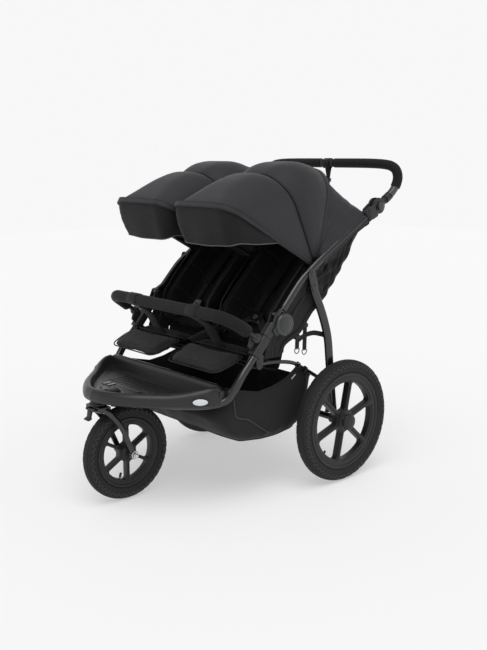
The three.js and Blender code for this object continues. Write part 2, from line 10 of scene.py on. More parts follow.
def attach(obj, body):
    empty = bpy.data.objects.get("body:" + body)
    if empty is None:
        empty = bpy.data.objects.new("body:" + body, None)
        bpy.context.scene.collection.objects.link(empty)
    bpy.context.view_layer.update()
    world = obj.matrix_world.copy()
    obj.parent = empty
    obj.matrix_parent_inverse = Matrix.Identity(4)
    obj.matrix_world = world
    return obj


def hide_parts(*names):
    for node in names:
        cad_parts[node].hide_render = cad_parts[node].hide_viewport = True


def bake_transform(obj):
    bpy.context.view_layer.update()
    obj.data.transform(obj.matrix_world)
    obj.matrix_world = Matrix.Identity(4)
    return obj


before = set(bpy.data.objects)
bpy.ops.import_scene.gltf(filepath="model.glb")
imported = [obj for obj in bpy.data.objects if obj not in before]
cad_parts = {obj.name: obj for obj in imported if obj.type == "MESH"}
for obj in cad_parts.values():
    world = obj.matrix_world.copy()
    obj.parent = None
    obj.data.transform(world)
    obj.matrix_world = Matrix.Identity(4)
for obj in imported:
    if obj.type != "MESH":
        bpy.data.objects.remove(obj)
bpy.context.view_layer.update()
AXLE_Y = 235.3
UP = (0, 0, 1)
ACROSS = (1, 0, 0)
ON_AXIS = 0.01  # radius of a turned profile where it meets its axis
SHARP = 38  # edges steeper than this many degrees shade as hard edges


# ---------- kit: points and paths ----------
def V(p):
    """axle-frame millimetres to row-frame metres"""
    return (np.asarray(p, float) + (0, AXLE_Y, 0)) / 1000


def unit(a):
    a = np.asarray(a, float)
    return a / max(np.linalg.norm(a), 1e-9)


def polar(o, r, deg):
    return o[0] + r * math.cos(math.radians(deg)), o[1] + r * math.sin(math.radians(deg))


def step(x, a, b):
    t = np.clip((np.asarray(x, float) - a) / (b - a), 0, 1)
    return t * t * (3 - 2 * t)


def resample(p, n):
    """n points evenly spaced along a polyline"""
    p = np.asarray(p, float)
    d = np.r_[0, np.cumsum(np.linalg.norm(np.diff(p, axis=0), axis=1))]
    t = np.linspace(0, d[-1], n)
    return np.stack([np.interp(t, d, p[:, k]) for k in range(p.shape[1])], 1)


def spline(pts, n):
    """centripetal Catmull-Rom curve through pts, as n even points"""
    p = np.asarray(pts, float)
    p = np.vstack([2 * p[0] - p[1], p, 2 * p[-1] - p[-2]])
    out = []
    for i in range(1, len(p) - 2):
        a, b, c, d = p[i - 1:i + 3]
        k = np.cumsum([0] + [max(np.linalg.norm(v) ** 0.5, 1e-4) for v in (b - a, c - b, d - c)])
        for t in np.linspace(k[1], k[2], 16, endpoint=i == len(p) - 3):
            A = [((k[j + 1] - t) * q + (t - k[j]) * r) / (k[j + 1] - k[j])
                 for j, (q, r) in enumerate(((a, b), (b, c), (c, d)))]
            B = [((k[j + 2] - t) * A[j] + (t - k[j]) * A[j + 1]) / (k[j + 2] - k[j]) for j in (0, 1)]
            out.append(((k[2] - t) * B[0] + (t - k[1]) * B[1]) / (k[2] - k[1]))
    return resample(out, n)


def rounded(poly, r, n=5):
    """polygon with its corners rounded to radius r (a number, or one for each corner)"""
    p = np.asarray(poly, float)
    m = len(p)
    out = []
    for i in range(m):
        ri = r[i] if hasattr(r, "__len__") else r
        if ri <= 0:
            out.append(p[i])
            continue
        a, b = p[i - 1] - p[i], p[(i + 1) % m] - p[i]
        la, lb = np.linalg.norm(a), np.linalg.norm(b)
        a, b = a / la, b / lb
        half = math.acos(np.clip(a @ b, -0.9999, 0.9999)) / 2
        cut = min(ri / math.tan(half), 0.48 * la, 0.48 * lb)
        c = p[i] + unit(a + b) * cut / math.cos(half)
        s, e = p[i] + a * cut - c, p[i] + b * cut - c
        for t in np.linspace(0, 1, n):
            v = s * (1 - t) + e * t
            out.append(c + unit(v) * np.linalg.norm(s))
    return np.array(out)


def circle(r, n=24):
    a = np.arange(n) * 2 * math.pi / n
    return np.stack([r * np.cos(a), r * np.sin(a)], 1)


def oval(a, b, n=24):
    return circle(1, n) * (a, b)


def flat(w, t):
    """section of webbing: w wide along the path's own side, t thick"""
    return block(w / 2, t / 2, 0.45 * t, 3)


def box(a, b, r, n=5):
    """rounded rectangle for a section, from its half sizes, starting at its lower outer corner"""
    return rounded([(a, -b), (a, b), (-a, b), (-a, -b)], r, n)


def block(a, b, r, n=5):
    """the same rectangle, starting at its lower inner corner"""
    return rounded([(-a, -b), (a, -b), (a, b), (-a, b)], r, n)


def mirrored(half):
    """a line that ends on the middle plane, continued to the other side"""
    return np.vstack([half, (half * (-1, 1, 1))[-2::-1]])


# ---------- kit: meshes ----------
def mesh(name, verts, faces, mat, uv=None, sharp=SHARP):
    m = bpy.data.meshes.new(name)
    m.from_pydata([tuple(v) for v in V(verts)], [], faces)
    o = bpy.data.objects.new(name, m)
    bpy.context.scene.collection.objects.link(o)
    m.materials.append(mat)
    if uv is not None:
        layer = m.uv_layers.new(name="UVMap")
        layer.data.foreach_set("uv", np.asarray(uv, float).ravel())
    shade(o, sharp)
    return o


def shade(o, sharp=SHARP):
    """smooth faces with hard edges where neighbours turn by more than sharp degrees"""
    bm = bmesh.new()
    bm.from_mesh(o.data)
    bmesh.ops.recalc_face_normals(bm, faces=bm.faces)
    lim = math.radians(sharp)
    for e in bm.edges:
        e.smooth = len(e.link_faces) != 2 or e.calc_face_angle(0) < lim
    for f in bm.faces:
        f.smooth = True
    bm.to_mesh(o.data)
    bm.free()


def loft(name, rings, mat, cap=True, loop=True, sharp=SHARP, close=False):
    """skin over rings of equal point count; loop closes each ring, close joins the last ring to the first"""
    r = np.asarray(rings, float)
    n, m = r.shape[:2]
    along = np.r_[0, np.cumsum(np.linalg.norm(np.diff(r.mean(1), axis=0), axis=1))] / 1000
    big = r[np.argmax(np.linalg.norm(r - r.mean(1, keepdims=True), axis=2).max(1))]
    around = np.r_[0, np.cumsum(np.linalg.norm(np.roll(big, -1, 0) - big, axis=1))] / 1000
    faces, uv = [], []
    for i in range(n if close else n - 1):
        k = (i + 1) % n
        for j in range(m if loop else m - 1):
            q = (j + 1) % m
            faces.append((i * m + j, i * m + q, k * m + q, k * m + j))
            top = along[k] if k else along[-1] + 0.01
            uv += [(around[j], along[i]), (around[j + 1], along[i]), (around[j + 1], top), (around[j], top)]
    if cap and loop and not close:
        faces.append(tuple(range(m))[::-1])
        faces.append(tuple((n - 1) * m + j for j in range(m)))
        for ring in (r[0][::-1], r[-1]):
            uv += [(v[0] / 1000, v[1] / 1000) for v in ring]
    return mesh(name, r.reshape(-1, 3), faces, mat, uv, sharp)


def sweep(name, path, prof, mat, ref=ACROSS, ends=0, scale=None, sharp=SHARP, close=False):
    """profile swept along a path; ends rounds the two ends over that length"""
    p = np.asarray(path, float)
    n = len(p)
    prof = np.asarray(prof, float)
    refs = np.broadcast_to(np.asarray(ref, float), (n, 3)) if np.ndim(ref) == 1 else np.asarray(ref, float)
    if close:
        tan = np.roll(p, -1, 0) - np.roll(p, 1, 0)
    else:
        tan = np.gradient(p, axis=0)
    k = np.ones(n) if scale is None else np.asarray(scale, float)
    rings = []
    for i in range(n):
        t = unit(tan[i])
        u = unit(refs[i] - (refs[i] @ t) * t)
        w = np.cross(t, u)
        rings.append(p[i] + k[i] * (prof[:, :1] * u + prof[:, 1:] * w))
    if ends:
        a, b = unit(p[0] - p[1]), unit(p[-1] - p[-2])
        rise = ((0.35, 0.93), (0.75, 0.66), (0.97, 0.25))
        first = [p[0] + a * ends * f + (rings[0] - p[0]) * s for f, s in rise][::-1]
        last = [p[-1] + b * ends * f + (rings[-1] - p[-1]) * s for f, s in rise]
        rings = first + rings + last
    return loft(name, rings, mat, sharp=sharp, close=close)


def lathe(name, prof, mat, c=(0, 0), x=0, n=64, ring=True, axis="x", sharp=SHARP):
    """(along, radius) profile turned about an axis through c; ring closes the profile on itself"""
    prof = np.asarray(prof, float)
    rings = []
    for a in np.arange(n) * 2 * math.pi / n:
        u, w = prof[:, 1] * math.cos(a), prof[:, 1] * math.sin(a)
        h = prof[:, 0] + x
        rings.append(np.stack([h, c[0] + u, c[1] + w] if axis == "x" else [c[0] + u, c[1] + w, h], 1))
    rings = np.array(rings)
    if ring:
        return loft(name, rings, mat, sharp=sharp, close=True)
    rings = rings.transpose(1, 0, 2)
    return loft(name, rings, mat, sharp=sharp)


def rod(name, lo, hi, r, mat, c, n):
    """plain cylinder across the frame"""
    return lathe(name, [(lo, ON_AXIS), (lo, r), (hi, r), (hi, ON_AXIS)], mat, c, 0, n, ring=False)


def prism(name, poly, lo, hi, mat, axis="x", bevel=1.0):
    """polygon drawn along an axis, its edges bevelled; axis x takes (y, z), axis z takes (x, y)"""
    poly = np.asarray(poly, float)
    put = (lambda q, h: (h, q[0], q[1])) if axis == "x" else (lambda q, h: (q[0], q[1], h))
    n = len(poly)
    v = [put(q, lo) for q in poly] + [put(q, hi) for q in poly]
    f = [tuple(range(n))[::-1], tuple(range(n, 2 * n))]
    f += [(i, (i + 1) % n, n + (i + 1) % n, n + i) for i in range(n)]
    o = mesh(name, v, f, mat)
    if bevel:
        bm = bmesh.new()
        bm.from_mesh(o.data)
        bm.faces.ensure_lookup_table()
        rim = [e for e in bm.edges if e.calc_face_angle(0) > math.radians(35)]
        bmesh.ops.bevel(bm, geom=rim, offset=bevel / 1000, segments=2, profile=0.6, affect="EDGES",
                        clamp_overlap=True)
        bm.to_mesh(o.data)
        bm.free()
        shade(o)
    return o


def plate(name, outer, holes, half, mat, bevel=1.5, segments=3):
    """flat plate in the (y, z) plane with holes through it, its rims rounded over"""
    curve = bpy.data.curves.new(name, "CURVE")
    curve.dimensions = "2D"
    curve.fill_mode = "BOTH"
    for pts in [outer] + holes:
        s = curve.splines.new("POLY")
        s.points.add(len(pts) - 1)
        s.points.foreach_set("co", np.c_[np.asarray(pts, float) / 1000, np.zeros(len(pts)),
                                         np.ones(len(pts))].ravel())
        s.use_cyclic_u = True
    curve.extrude = (half - bevel) / 1000
    curve.bevel_depth = bevel / 1000
    curve.bevel_resolution = segments
    curve.offset = -bevel / 1000
    tmp = bpy.data.objects.new(name + "_curve", curve)
    bpy.context.scene.collection.objects.link(tmp)
    m = bpy.data.meshes.new_from_object(tmp.evaluated_get(bpy.context.evaluated_depsgraph_get()))
    bpy.data.objects.remove(tmp)
    bpy.data.curves.remove(curve)
    co = np.empty(len(m.vertices) * 3)
    m.vertices.foreach_get("co", co)
    co = co.reshape(-1, 3)[:, [2, 0, 1]]
    m.vertices.foreach_set("co", co.ravel())
    o = bpy.data.objects.new(name, m)
    bpy.context.scene.collection.objects.link(o)
    bm = bmesh.new()
    bm.from_mesh(m)
    bmesh.ops.remove_doubles(bm, verts=bm.verts, dist=1e-5)
    bm.to_mesh(m)
    bm.free()
    m.materials.clear()
    m.materials.append(mat)
    shade(o)
    return o


def points(o):
    co = np.empty(len(o.data.vertices) * 3)
    o.data.vertices.foreach_get("co", co)
    return co.reshape(-1, 3)


def put_points(o, co):
    o.data.vertices.foreach_set("co", np.asarray(co, float).ravel())
    o.data.update()


def shift(o, d):
    put_points(o, points(o) + np.asarray(d, float) / 1000)
    return o


def join(name, *objs):
    """one object from several, keeping their materials"""
    mats, out = [], bmesh.new()
    for o in objs:
        start = len(out.faces)
        out.from_mesh(o.data)
        out.faces.ensure_lookup_table()
        for m in o.data.materials:
            if m not in mats:
                mats.append(m)
        slots = [mats.index(m) for m in o.data.materials]
        for f in out.faces[start:]:
            f.material_index = slots[min(f.material_index, len(slots) - 1)]
    m = bpy.data.meshes.new(name)
    out.to_mesh(m)
    out.free()
    for x in mats:
        m.materials.append(x)
    for o in objs:
        old = o.data
        bpy.data.objects.remove(o)
        bpy.data.meshes.remove(old)
    o = bpy.data.objects.new(name, m)
    bpy.context.scene.collection.objects.link(o)
    return o


def mirror_copy(o, name):
    c = o.copy()
    c.data = o.data.copy()
    c.name = name
    bpy.context.scene.collection.objects.link(c)
    put_points(c, points(c) * (-1, 1, 1))
    c.data.flip_normals()
    return c


def place(o, body, *nodes, slot=None):
    """rides a body and stands for CAD nodes"""
    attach(o, body)
    if nodes:
        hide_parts(*nodes)
    return o


def pair(o, body, *nodes, slot=None, soft=None):
    """o is the left piece; a mirrored copy goes on the right. * in a name is the side."""
    o.name += "_left"
    c = mirror_copy(o, o.name.replace("_left", "_right"))
    for q, side in ((o, "left"), (c, "right")):
        if body:
            place(q, body.replace("*", side), *[n.replace("*", side) for n in nodes], slot=slot)
        if soft:
            soft(q)
    return o, c


# ---------- materials ----------
COLOR_A, COLOR_B = 6, 7  # the colour sockets of a Mix node


def material(name, color, rough, metal=0.0, kind="grain", pitch=1.0, depth=0.1, vary=0.12,
             coords="Object", **direct):
    """procedural finish; kind is grain, weave, ribs, pores, brushed or prisms; pitch and depth are in mm"""
    m = bpy.data.materials.new(name)
    m.use_nodes = True
    t = m.node_tree
    p = t.nodes["Principled BSDF"]
    p.inputs["Metallic"].default_value = metal
    for k, v in direct.items():
        p.inputs[k.replace("_", " ")].default_value = v

    def node(kind_name, **values):
        q = t.nodes.new("ShaderNode" + kind_name)
        for k, v in values.items():
            if k in q.inputs:
                q.inputs[k].default_value = v
            else:
                setattr(q, k, v)
        return q

    def math_of(op, a, b):
        q = node("Math", operation=op)
        for i, v in enumerate((a, b)):
            if isinstance(v, (int, float)):
                q.inputs[i].default_value = v
            else:
                t.links.new(v, q.inputs[i])
        return q.outputs[0]

    where = node("TexCoord").outputs[coords]
    freq = 1000 / pitch

    def noise(scale, detail=3.0, stretch=None):
        q = node("TexNoise", Scale=scale, Detail=detail)
        if stretch:
            g = node("Mapping")
            g.inputs["Scale"].default_value = stretch
            t.links.new(where, g.inputs["Vector"])
            t.links.new(g.outputs[0], q.inputs["Vector"])
        else:
            t.links.new(where, q.inputs["Vector"])
        return q.outputs["Fac"]

    def wave(direction, scale, distortion=0.0):
        q = node("TexWave", Scale=scale, Distortion=distortion, bands_direction=direction)
        q.inputs["Detail Scale"].default_value = 2.0
        t.links.new(where, q.inputs["Vector"])
        return q.outputs["Fac"]

    if kind == "weave":
        k = freq / 6.28 * 2
        pattern = math_of("MAXIMUM", wave("X", k), wave("Y", k))
        if coords == "Object":
            pattern = math_of("MULTIPLY", pattern, wave("Z", k))
    elif kind == "ribs":
        pattern = math_of("ADD", wave("X" if coords == "UV" else "DIAGONAL", freq / 3.14),
                          noise(freq * 0.6, 1.0))
    elif kind in ("pores", "prisms"):
        q = node("TexVoronoi", Scale=freq)
        t.links.new(where, q.inputs["Vector"])
        pattern = q.outputs["Distance"]
    elif kind == "brushed":
        pattern = noise(freq * 0.2, 2.0, (8.0, 0.35, 0.35))
    else:
        pattern = noise(freq, 3.0)
    bump = node("Bump", Strength=0.6, Distance=depth / 1000)
    t.links.new(pattern, bump.inputs["Height"])
    t.links.new(bump.outputs[0], p.inputs["Normal"])
    patch = noise(14.0, 4.0)
    mix = node("Mix", data_type="RGBA")
    c = np.array(color, float)
    mix.inputs[COLOR_A].default_value = (*c * (1 - vary), 1)
    mix.inputs[COLOR_B].default_value = (*np.minimum(c * (1 + vary), 1), 1)
    blend = math_of("ADD", math_of("MULTIPLY", patch, 0.6), math_of("MULTIPLY", pattern, 0.4))
    t.links.new(blend, mix.inputs[0])
    t.links.new(mix.outputs[2], p.inputs["Base Color"])
    span = node("MapRange")
    span.inputs["To Min"].default_value = max(rough - 0.06, 0.02)
    span.inputs["To Max"].default_value = min(rough + 0.07, 1.0)
    t.links.new(noise(60.0, 5.0), span.inputs["Value"])
    t.links.new(span.outputs[0], p.inputs["Roughness"])
    return m


METAL = material("frame_metal", (0.06, 0.06, 0.062), 0.2, 0.9, "brushed", 1.2, 0.02, Specular_IOR_Level=0.5)
SILVER = material("silver_collar", (0.09, 0.092, 0.096), 0.34, 0.8, "brushed", 1.2, 0.02)
CHROME = material("chrome", (0.62, 0.63, 0.65), 0.14, 1.0, "grain", 2.0, 0.01)
STEEL = material("steel", (0.24, 0.245, 0.25), 0.32, 0.95, "grain", 1.5, 0.02)
BOLT = material("dark_bolt", (0.07, 0.07, 0.073), 0.36, 0.9, "grain", 1.5, 0.02)
BRACKET = material("cast_bracket", (0.035, 0.036, 0.037), 0.42, 0.55, "grain", 0.9, 0.06)
PLASTIC = material("plastic", (0.011, 0.011, 0.0115), 0.42, 0, "grain", 0.8, 0.06, Specular_IOR_Level=0.35)
TRAY = material("tray_plastic", (0.014, 0.014, 0.0135), 0.34, 0, "grain", 1.1, 0.08, Specular_IOR_Level=0.4)
GREY = material("knob_grey", (0.04, 0.042, 0.045), 0.34, 0, "grain", 1.0, 0.04, Coat_Weight=0.1,
                Specular_IOR_Level=0.4)
GLOSS = material("gloss_black", (0.008, 0.008, 0.009), 0.16, 0, "grain", 3.0, 0.02, Coat_Weight=0.3,
                 Coat_Roughness=0.08)
LENS = material("reflector", (0.62, 0.64, 0.66), 0.14, 0, "prisms", 2.6, 0.7, Coat_Weight=0.8)
RUBBER = material("tyre", (0.016, 0.016, 0.016), 0.7, 0, "grain", 0.9, 0.12, vary=0.3,
                  Specular_IOR_Level=0.25)
RIM = material("rim", (0.01, 0.01, 0.0105), 0.4, 0, "grain", 0.9, 0.05, Specular_IOR_Level=0.35)
FOAM = material("foam", (0.008, 0.008, 0.0085), 0.78, 0, "pores", 1.1, 0.25, vary=0.25, Sheen_Weight=0.06,
                Specular_IOR_Level=0.2)
CLOTH = material("canopy_cloth", (0.024, 0.024, 0.027), 0.6, 0, "weave", 1.1, 0.12, coords="UV",
                 Sheen_Weight=0.12, Sheen_Roughness=0.4, Specular_IOR_Level=0.25)
BASKET = material("basket_cloth", (0.011, 0.011, 0.0115), 0.7, 0, "weave", 1.6, 0.2, coords="UV",
                  Sheen_Weight=0.06, Specular_IOR_Level=0.2)
PAD = material("pad_cloth", (0.013, 0.013, 0.0145), 0.75, 0, "weave", 1.4, 0.16, Sheen_Weight=0.1,
               Specular_IOR_Level=0.2)
LINING = material("seat_lining", (0.005, 0.005, 0.0055), 0.8, 0, "weave", 1.4, 0.16, Sheen_Weight=0.05,
                  Specular_IOR_Level=0.12)
# painted shade: the visor's cloth is the canopy cloth made darker, for the shade on a flap that faces down
# and forward
VISOR_PAINTED_SHADE = material("visor_cloth", (0.008, 0.008, 0.0085), 0.72, 0, "weave", 1.1, 0.12, coords="UV",
                Sheen_Weight=0.06, Specular_IOR_Level=0.2)
PIPING = material("piping", (0.006, 0.006, 0.0065), 0.5, 0, "ribs", 1.0, 0.1, coords="UV",
                  Specular_IOR_Level=0.3)
# painted highlight: a grey a little lighter than the rubber and the piping, for the light that raised lines
# catch; used on the tyre's wavy line and the basket's pocket and corner piping
RIDGE_HIGHLIGHT = material("pocket_piping", (0.022, 0.022, 0.023), 0.55, 0, "ribs", 1.0, 0.1, coords="UV")
# painted highlight: piping lighter than the cloth, for the light that catches the visor's hem
HEM_HIGHLIGHT = material("light_piping", (0.08, 0.08, 0.083), 0.55, 0, "ribs", 1.0, 0.1, coords="UV")
WEBBING = material("webbing", (0.007, 0.007, 0.0075), 0.6, 0, "ribs", 1.3, 0.22, coords="UV",
                   Sheen_Weight=0.06, Specular_IOR_Level=0.2)
THREAD = material("thread", (0.007, 0.007, 0.0075), 0.6, 0, "ribs", 0.6, 0.1, coords="UV")
TAG = material("blank_tag", (0.6, 0.6, 0.59), 0.6, 0, "weave", 0.8, 0.05, coords="UV")

# ---------- driving points, as in the CAD part ----------
REAR_R, FRONT_R, REAR_X = 203, 151, 344
REAR_W, FRONT_W = 22, 21  # half widths of the tyres
FRONT_AXLE, REAR_AXLE, STEER = (-625, 151), (0, 203), (0, -720)
FRAME_X, TUBE_R = 308, 12.5
FOLD, LEG_TOP, STAY_PIN, STAY_END = (-272, 588), (-133, 704), (-350, 440), (-18, 322)
KNUCKLE, CANOPY, BIGHT = (188, 898), (-85, 715), (-246, 462)
BUMPER_PIN, SEAT_X, SEAT_HALF = (-362, 526.5), 156, 126
HANDLE_TOP, BUMPER_BAR, BRAKE_SPRING = (283, 1036), (-468, 598), (283, -4)


def at(x, p):
    return x, p[0], p[1]


def bolt(name, x, c, r, mat=BOLT, tall=3.0, out=1):
    """button head with a hex socket, on a face at x"""
    prof = [(0, 0), (0, r), (0.45 * tall, r), (0.8 * tall, 0.86 * r), (tall, 0.6 * r), (tall, 0.42 * r),
            (0.45 * tall, 0.38 * r), (0.45 * tall, 0)]
    return lathe(name, [(out * a, max(b, ON_AXIS)) for a, b in prof], mat, c, x, 24, ring=False, sharp=30)


# ---------- wheels ----------
def tyre(name, c, x, R, w):
    """tyre with grooved shoulders, and a raised wavy line and fine rings on each side wall"""
    n, lug_n = 288, 8  # steps round the tyre, steps in one lug
    k = R - 1.85 * w
    side = [(-0.62, k), (-0.8, k + 0.14 * w), (-0.93, R - 1.42 * w), (-1.0, R - 1.02 * w),
            (-0.985, R - 0.7 * w), (-0.9, R - 0.4 * w), (-0.74, R - 0.19 * w), (-0.5, R - 0.07 * w),
            (-0.25, R - 0.015 * w), (0, R)]
    half = np.array(side) * (w, 1)
    prof = spline(np.vstack([half, (half * (-1, 1))[-2::-1]]), 71)
    m = len(prof)
    u = np.linspace(-1, 1, m)
    nrm = np.gradient(prof, axis=0)
    nrm = np.stack([-nrm[:, 1], nrm[:, 0]], 1)
    nrm /= np.linalg.norm(nrm, axis=1, keepdims=True)
    au = np.abs(u)
    rings = []
    for i in range(n):
        a = i * 2 * math.pi / n
        lug = (i % lug_n) / lug_n
        cut = np.zeros(m)
        slant = (lug + 0.9 * u + (u > 0) * 0.5) % 1
        cut[(au > 0.26) & (au < 0.46) & (slant < 0.2)] = 1.1
        cut[(au > 0.225) & (au < 0.275)] = 1.9
        cut[(au < 0.2) & (((lug * 2 + 3.0 * au) % 1) < 0.22)] = 0.9
        for lo, hi in ((0.62, 0.645), (0.74, 0.765), (0.86, 0.885)):
            cut[(au > lo) & (au < hi)] = 0.7
        q = prof - nrm * cut[:, None] * (1 if nrm[m // 2, 1] > 0 else -1)
        rings.append(np.stack([q[:, 0] + x, c[0] + q[:, 1] * math.cos(a), c[1] + q[:, 1] * math.sin(a)], 1))
    body = loft(name, rings, RUBBER, sharp=30, close=True)
    teeth = []
    step_n = 8 * round(2 * math.pi * R / 21)  # eight steps to a wave of about 21 mm
    for side in (-1, 1):
        line = []
        for i in range(step_n):
            a = i * 2 * math.pi / step_n
            sway = np.clip(1.5 * math.sin(i * math.pi / 4) + 0.5 * math.sin(i * 0.9), -1, 1)
            q = [np.interp(side * (0.55 + 0.075 * sway), u, prof[:, j]) for j in (0, 1)]
            line.append((q[0] + x, c[0] + (q[1] + 0.5) * math.cos(a), c[1] + (q[1] + 0.5) * math.sin(a)))
        # the wavy line is lighter than the tyre as a painted highlight
        teeth.append(sweep("tread_line", np.array(line), circle(1.9, 6), RIDGE_HIGHLIGHT, close=True))
    return join(name, body, *teeth)


def window(deg, r0, r1, s, corners=(7, 20)):
    """rounded trapezoid between two spokes whose half width is s"""
    def edge(r):
        u = np.roots([1 + 1 / 3, -4 * s / 3, 4 * s * s / 3 - r * r]).real.max()
        return u, (u * 0.5 - s) / math.cos(math.radians(30))
    (u0, v0), (u1, v1) = edge(r0), edge(r1)
    end = math.atan2(v1, u1)
    arc = [(r1 * math.cos(t), r1 * math.sin(t)) for t in np.linspace(-end, end, 7)]
    radii = [corners[0]] * 2 + [corners[1]] + [0] * 5 + [corners[1]]
    pts = rounded([(u0, v0), (u0, -v0)] + arc, radii, 7)
    a = math.radians(deg)
    turn = np.array([[math.cos(a), -math.sin(a)], [math.sin(a), math.cos(a)]])
    return pts @ turn.T


def wheel_rim(name, c, x, R, w, rim_r, hub_r, hub_l, win, turn=0):
    """moulded rim: bead ring, plate with six windows, hub barrel; win is the inner radius, outer radius and
    half spoke width of a window"""
    bead = 0.62 * w
    in_r = R - 1.85 * w - 0.6
    ring = lathe(name + "_ring", rounded([(-bead - 3, rim_r + 1), (-bead - 3.4, rim_r - 5),
                                          (-bead - 1, rim_r - 9), (-bead + 3, rim_r - 12),
                                          (bead - 3, rim_r - 12), (bead + 1, rim_r - 9),
                                          (bead + 3.4, rim_r - 5), (bead + 3, rim_r + 1), (bead + 0.4, in_r),
                                          (-bead - 0.4, in_r)], 0.8, 3), RIM, c, x, 144)
    turns = [turn + 60 * i for i in range(6)]
    holes = [window(a, *win) for a in turns]
    web = shift(plate(name + "_web", circle(rim_r - 8, 144), holes, half=12.0, mat=RIM, bevel=2.2),
                (x, c[0] + AXLE_Y, c[1]))
    inner = [window(a, win[0] - 5, win[1] + 7, win[2] - 4.2, (5, 22)) for a in turns]
    rib = shift(plate(name + "_rib", circle(rim_r - 9, 96), inner, half=13.6, mat=RIM, bevel=0.8, segments=1),
                (x, c[0] + AXLE_Y, c[1]))
    hub = lathe(name + "_hub", rounded([(-hub_l, 7), (-hub_l, hub_r * 0.6), (-hub_l * 0.72, hub_r * 0.66),
                                        (-12, hub_r), (-9, hub_r + 3), (9, hub_r + 3), (12, hub_r),
                                        (hub_l * 0.72, hub_r * 0.66), (hub_l, hub_r * 0.6),
                                        (hub_l, 7)], 1.2, 3), RIM, c, x, 64)
    valve_c = np.array(polar(c, rim_r - 13, 2 * turn - 108))
    tip = np.array(polar(c, rim_r - 37, 2 * turn - 108))
    stem = sweep(name + "_valve", [at(x, valve_c), at(x, (valve_c + tip) / 2), at(x, tip)],
                 circle(2.7, 14), STEEL)
    cap = sweep(name + "_cap", [at(x + 0.2, (valve_c + 2 * tip) / 3),
                                at(x + 0.2, tip + (tip - valve_c) * 0.16)], circle(3.9, 14),
                PLASTIC, ends=1.5)
    return join(name, ring, web, hub, stem, cap, rib)


o = tyre("rear_tyre", REAR_AXLE, REAR_X, REAR_R, REAR_W)
pair(o, "rear_wheel_*", "rear_tyre_*", slot="tyre")
o = wheel_rim("rear_rim", REAR_AXLE, REAR_X, REAR_R, REAR_W, rim_r=161, hub_r=32, hub_l=25,
              win=(40, 131, 7.4), turn=-12)
pair(o, "rear_wheel_*", "rear_rim_*", slot="rim")
cap = lathe("hub_cap", rounded([(371, 6.8), (371, 26.5), (376.5, 27), (379, 25.4), (381.6, 20.5), (383.2, 14),
                                (383.9, 6), (384, ON_AXIS), (380, ON_AXIS), (379.5, 6.8)], 0.7, 3), PLASTIC,
            REAR_AXLE, 0, 72)
pair(cap, "rear_wheel_*", "hub_cap_*")
place(tyre("front_tyre", FRONT_AXLE, 0, FRONT_R, FRONT_W), "front_wheel", "front_tyre", slot="tyre")
place(wheel_rim("front_rim", FRONT_AXLE, 0, FRONT_R, FRONT_W, rim_r=111, hub_r=25, hub_l=27,
                win=(33, 88, 5.2, (6, 16))), "front_wheel", "front_rim", slot="rim")

# ---------- frame tubes ----------
lower_path = spline([(FRAME_X, -286, 558), (FRAME_X, -325, 515), (FRAME_X, -370, 461), (FRAME_X, -409, 419),
                     (306, -440, 378), (297, -464, 349), (270, -500, 336), (150, -612, 333),
                     (42, -699, 333)], 90)
pair(sweep("lower_tube", lower_path, circle(TUBE_R, 28), METAL, ends=1.5), "lower_frame", "lower_tube_*",
     slot="frame_metal")
upper_path = spline([(FRAME_X, -247, 597), (FRAME_X, -229, 616), (FRAME_X, -168, 679),
                     (FRAME_X, *LEG_TOP), (FRAME_X, -90, 733), (FRAME_X, 40, 809), (FRAME_X, 140, 866.5),
                     (FRAME_X, 164, 881.5)], 80)
tube = sweep("upper_tube", upper_path, circle(TUBE_R, 28), METAL, ends=1.5)
tongue = prism("tongue", rounded([(-266, 602), (-281, 594), (-284, 586), (-281, 578), (-273, 574),
                                  (-262, 578), (-240, 595), (-222, 614), (-232, 624), (-250, 610)], 4), 300,
               315.7, METAL)
rivets = [bolt("rivet", 320.3, p[1:], 2.8, BOLT, 1.6) for p in upper_path[[8, 20]]]
channel = sweep("channel", upper_path[6:72] + (0, 7.5, -9.6), block(5.5, 2, 1, 3), PLASTIC, ends=1)
pair(join("upper_tube", tube, tongue, *rivets), "upper_frame", "upper_tube_*", slot="frame_metal")
pair(channel, "upper_frame")
for name, path, r, body in (("rear_cross_tube", [(-291, 146, 868), (291, 146, 868)], 10, "upper_frame"),
                            ("front_cross_tube", [(-294.5, -361, 436), (294.5, -361, 436)], 9,
                             "lower_frame")):
    place(sweep(name, resample(path, 12), circle(r, 24), METAL, ref=UP, ends=1), body, name,
          slot="frame_metal")

# handle: tube, ribbed collars, foam grips, centre clip
handle_path = spline([(FRAME_X, 223, 913.5), (FRAME_X, 238, 921), (309, 268, 943), (312, 283.5, 966),
                      (313.5, 288.8, 990), (306, 288.8, 1013), (288, 287, 1026.5), (262, 285.5, 1032),
                      (215, 284, 1035), (34, *HANDLE_TOP), (0, *HANDLE_TOP)], 110)
whole = mirrored(handle_path)
REF_H = (0, -1, 0.2)
bar = sweep("bar", whole, circle(10.5, 24), METAL, ref=REF_H)
knobs = []
for s in (1, -1):
    hub = prism("knob", circle(21.5, 48) + KNUCKLE, *sorted((s * 300, s * 316)), BRACKET, bevel=1.2)
    neck = sweep("neck", [at(s * FRAME_X, polar(KNUCKLE, 12, 24)), (s * FRAME_X, 224, 914),
                          (s * FRAME_X, 234, 918.6)], box(8, 11, 4), BRACKET, scale=(1, 1.08, 1.0))
    knobs += [hub, neck]
place(join("handle_tube", bar, *knobs), "handle", "handle_tube", slot="frame_metal")
run = resample(handle_path[8:23], 64)
collar = sweep("handle_collar", run, circle(13.4, 28), SILVER, ref=REF_H, ends=1.2,
               scale=[1.06 if i < 5 or i > 58 else (1.0 if i % 6 < 4 else 0.955) for i in range(64)])
pair(collar, "handle")
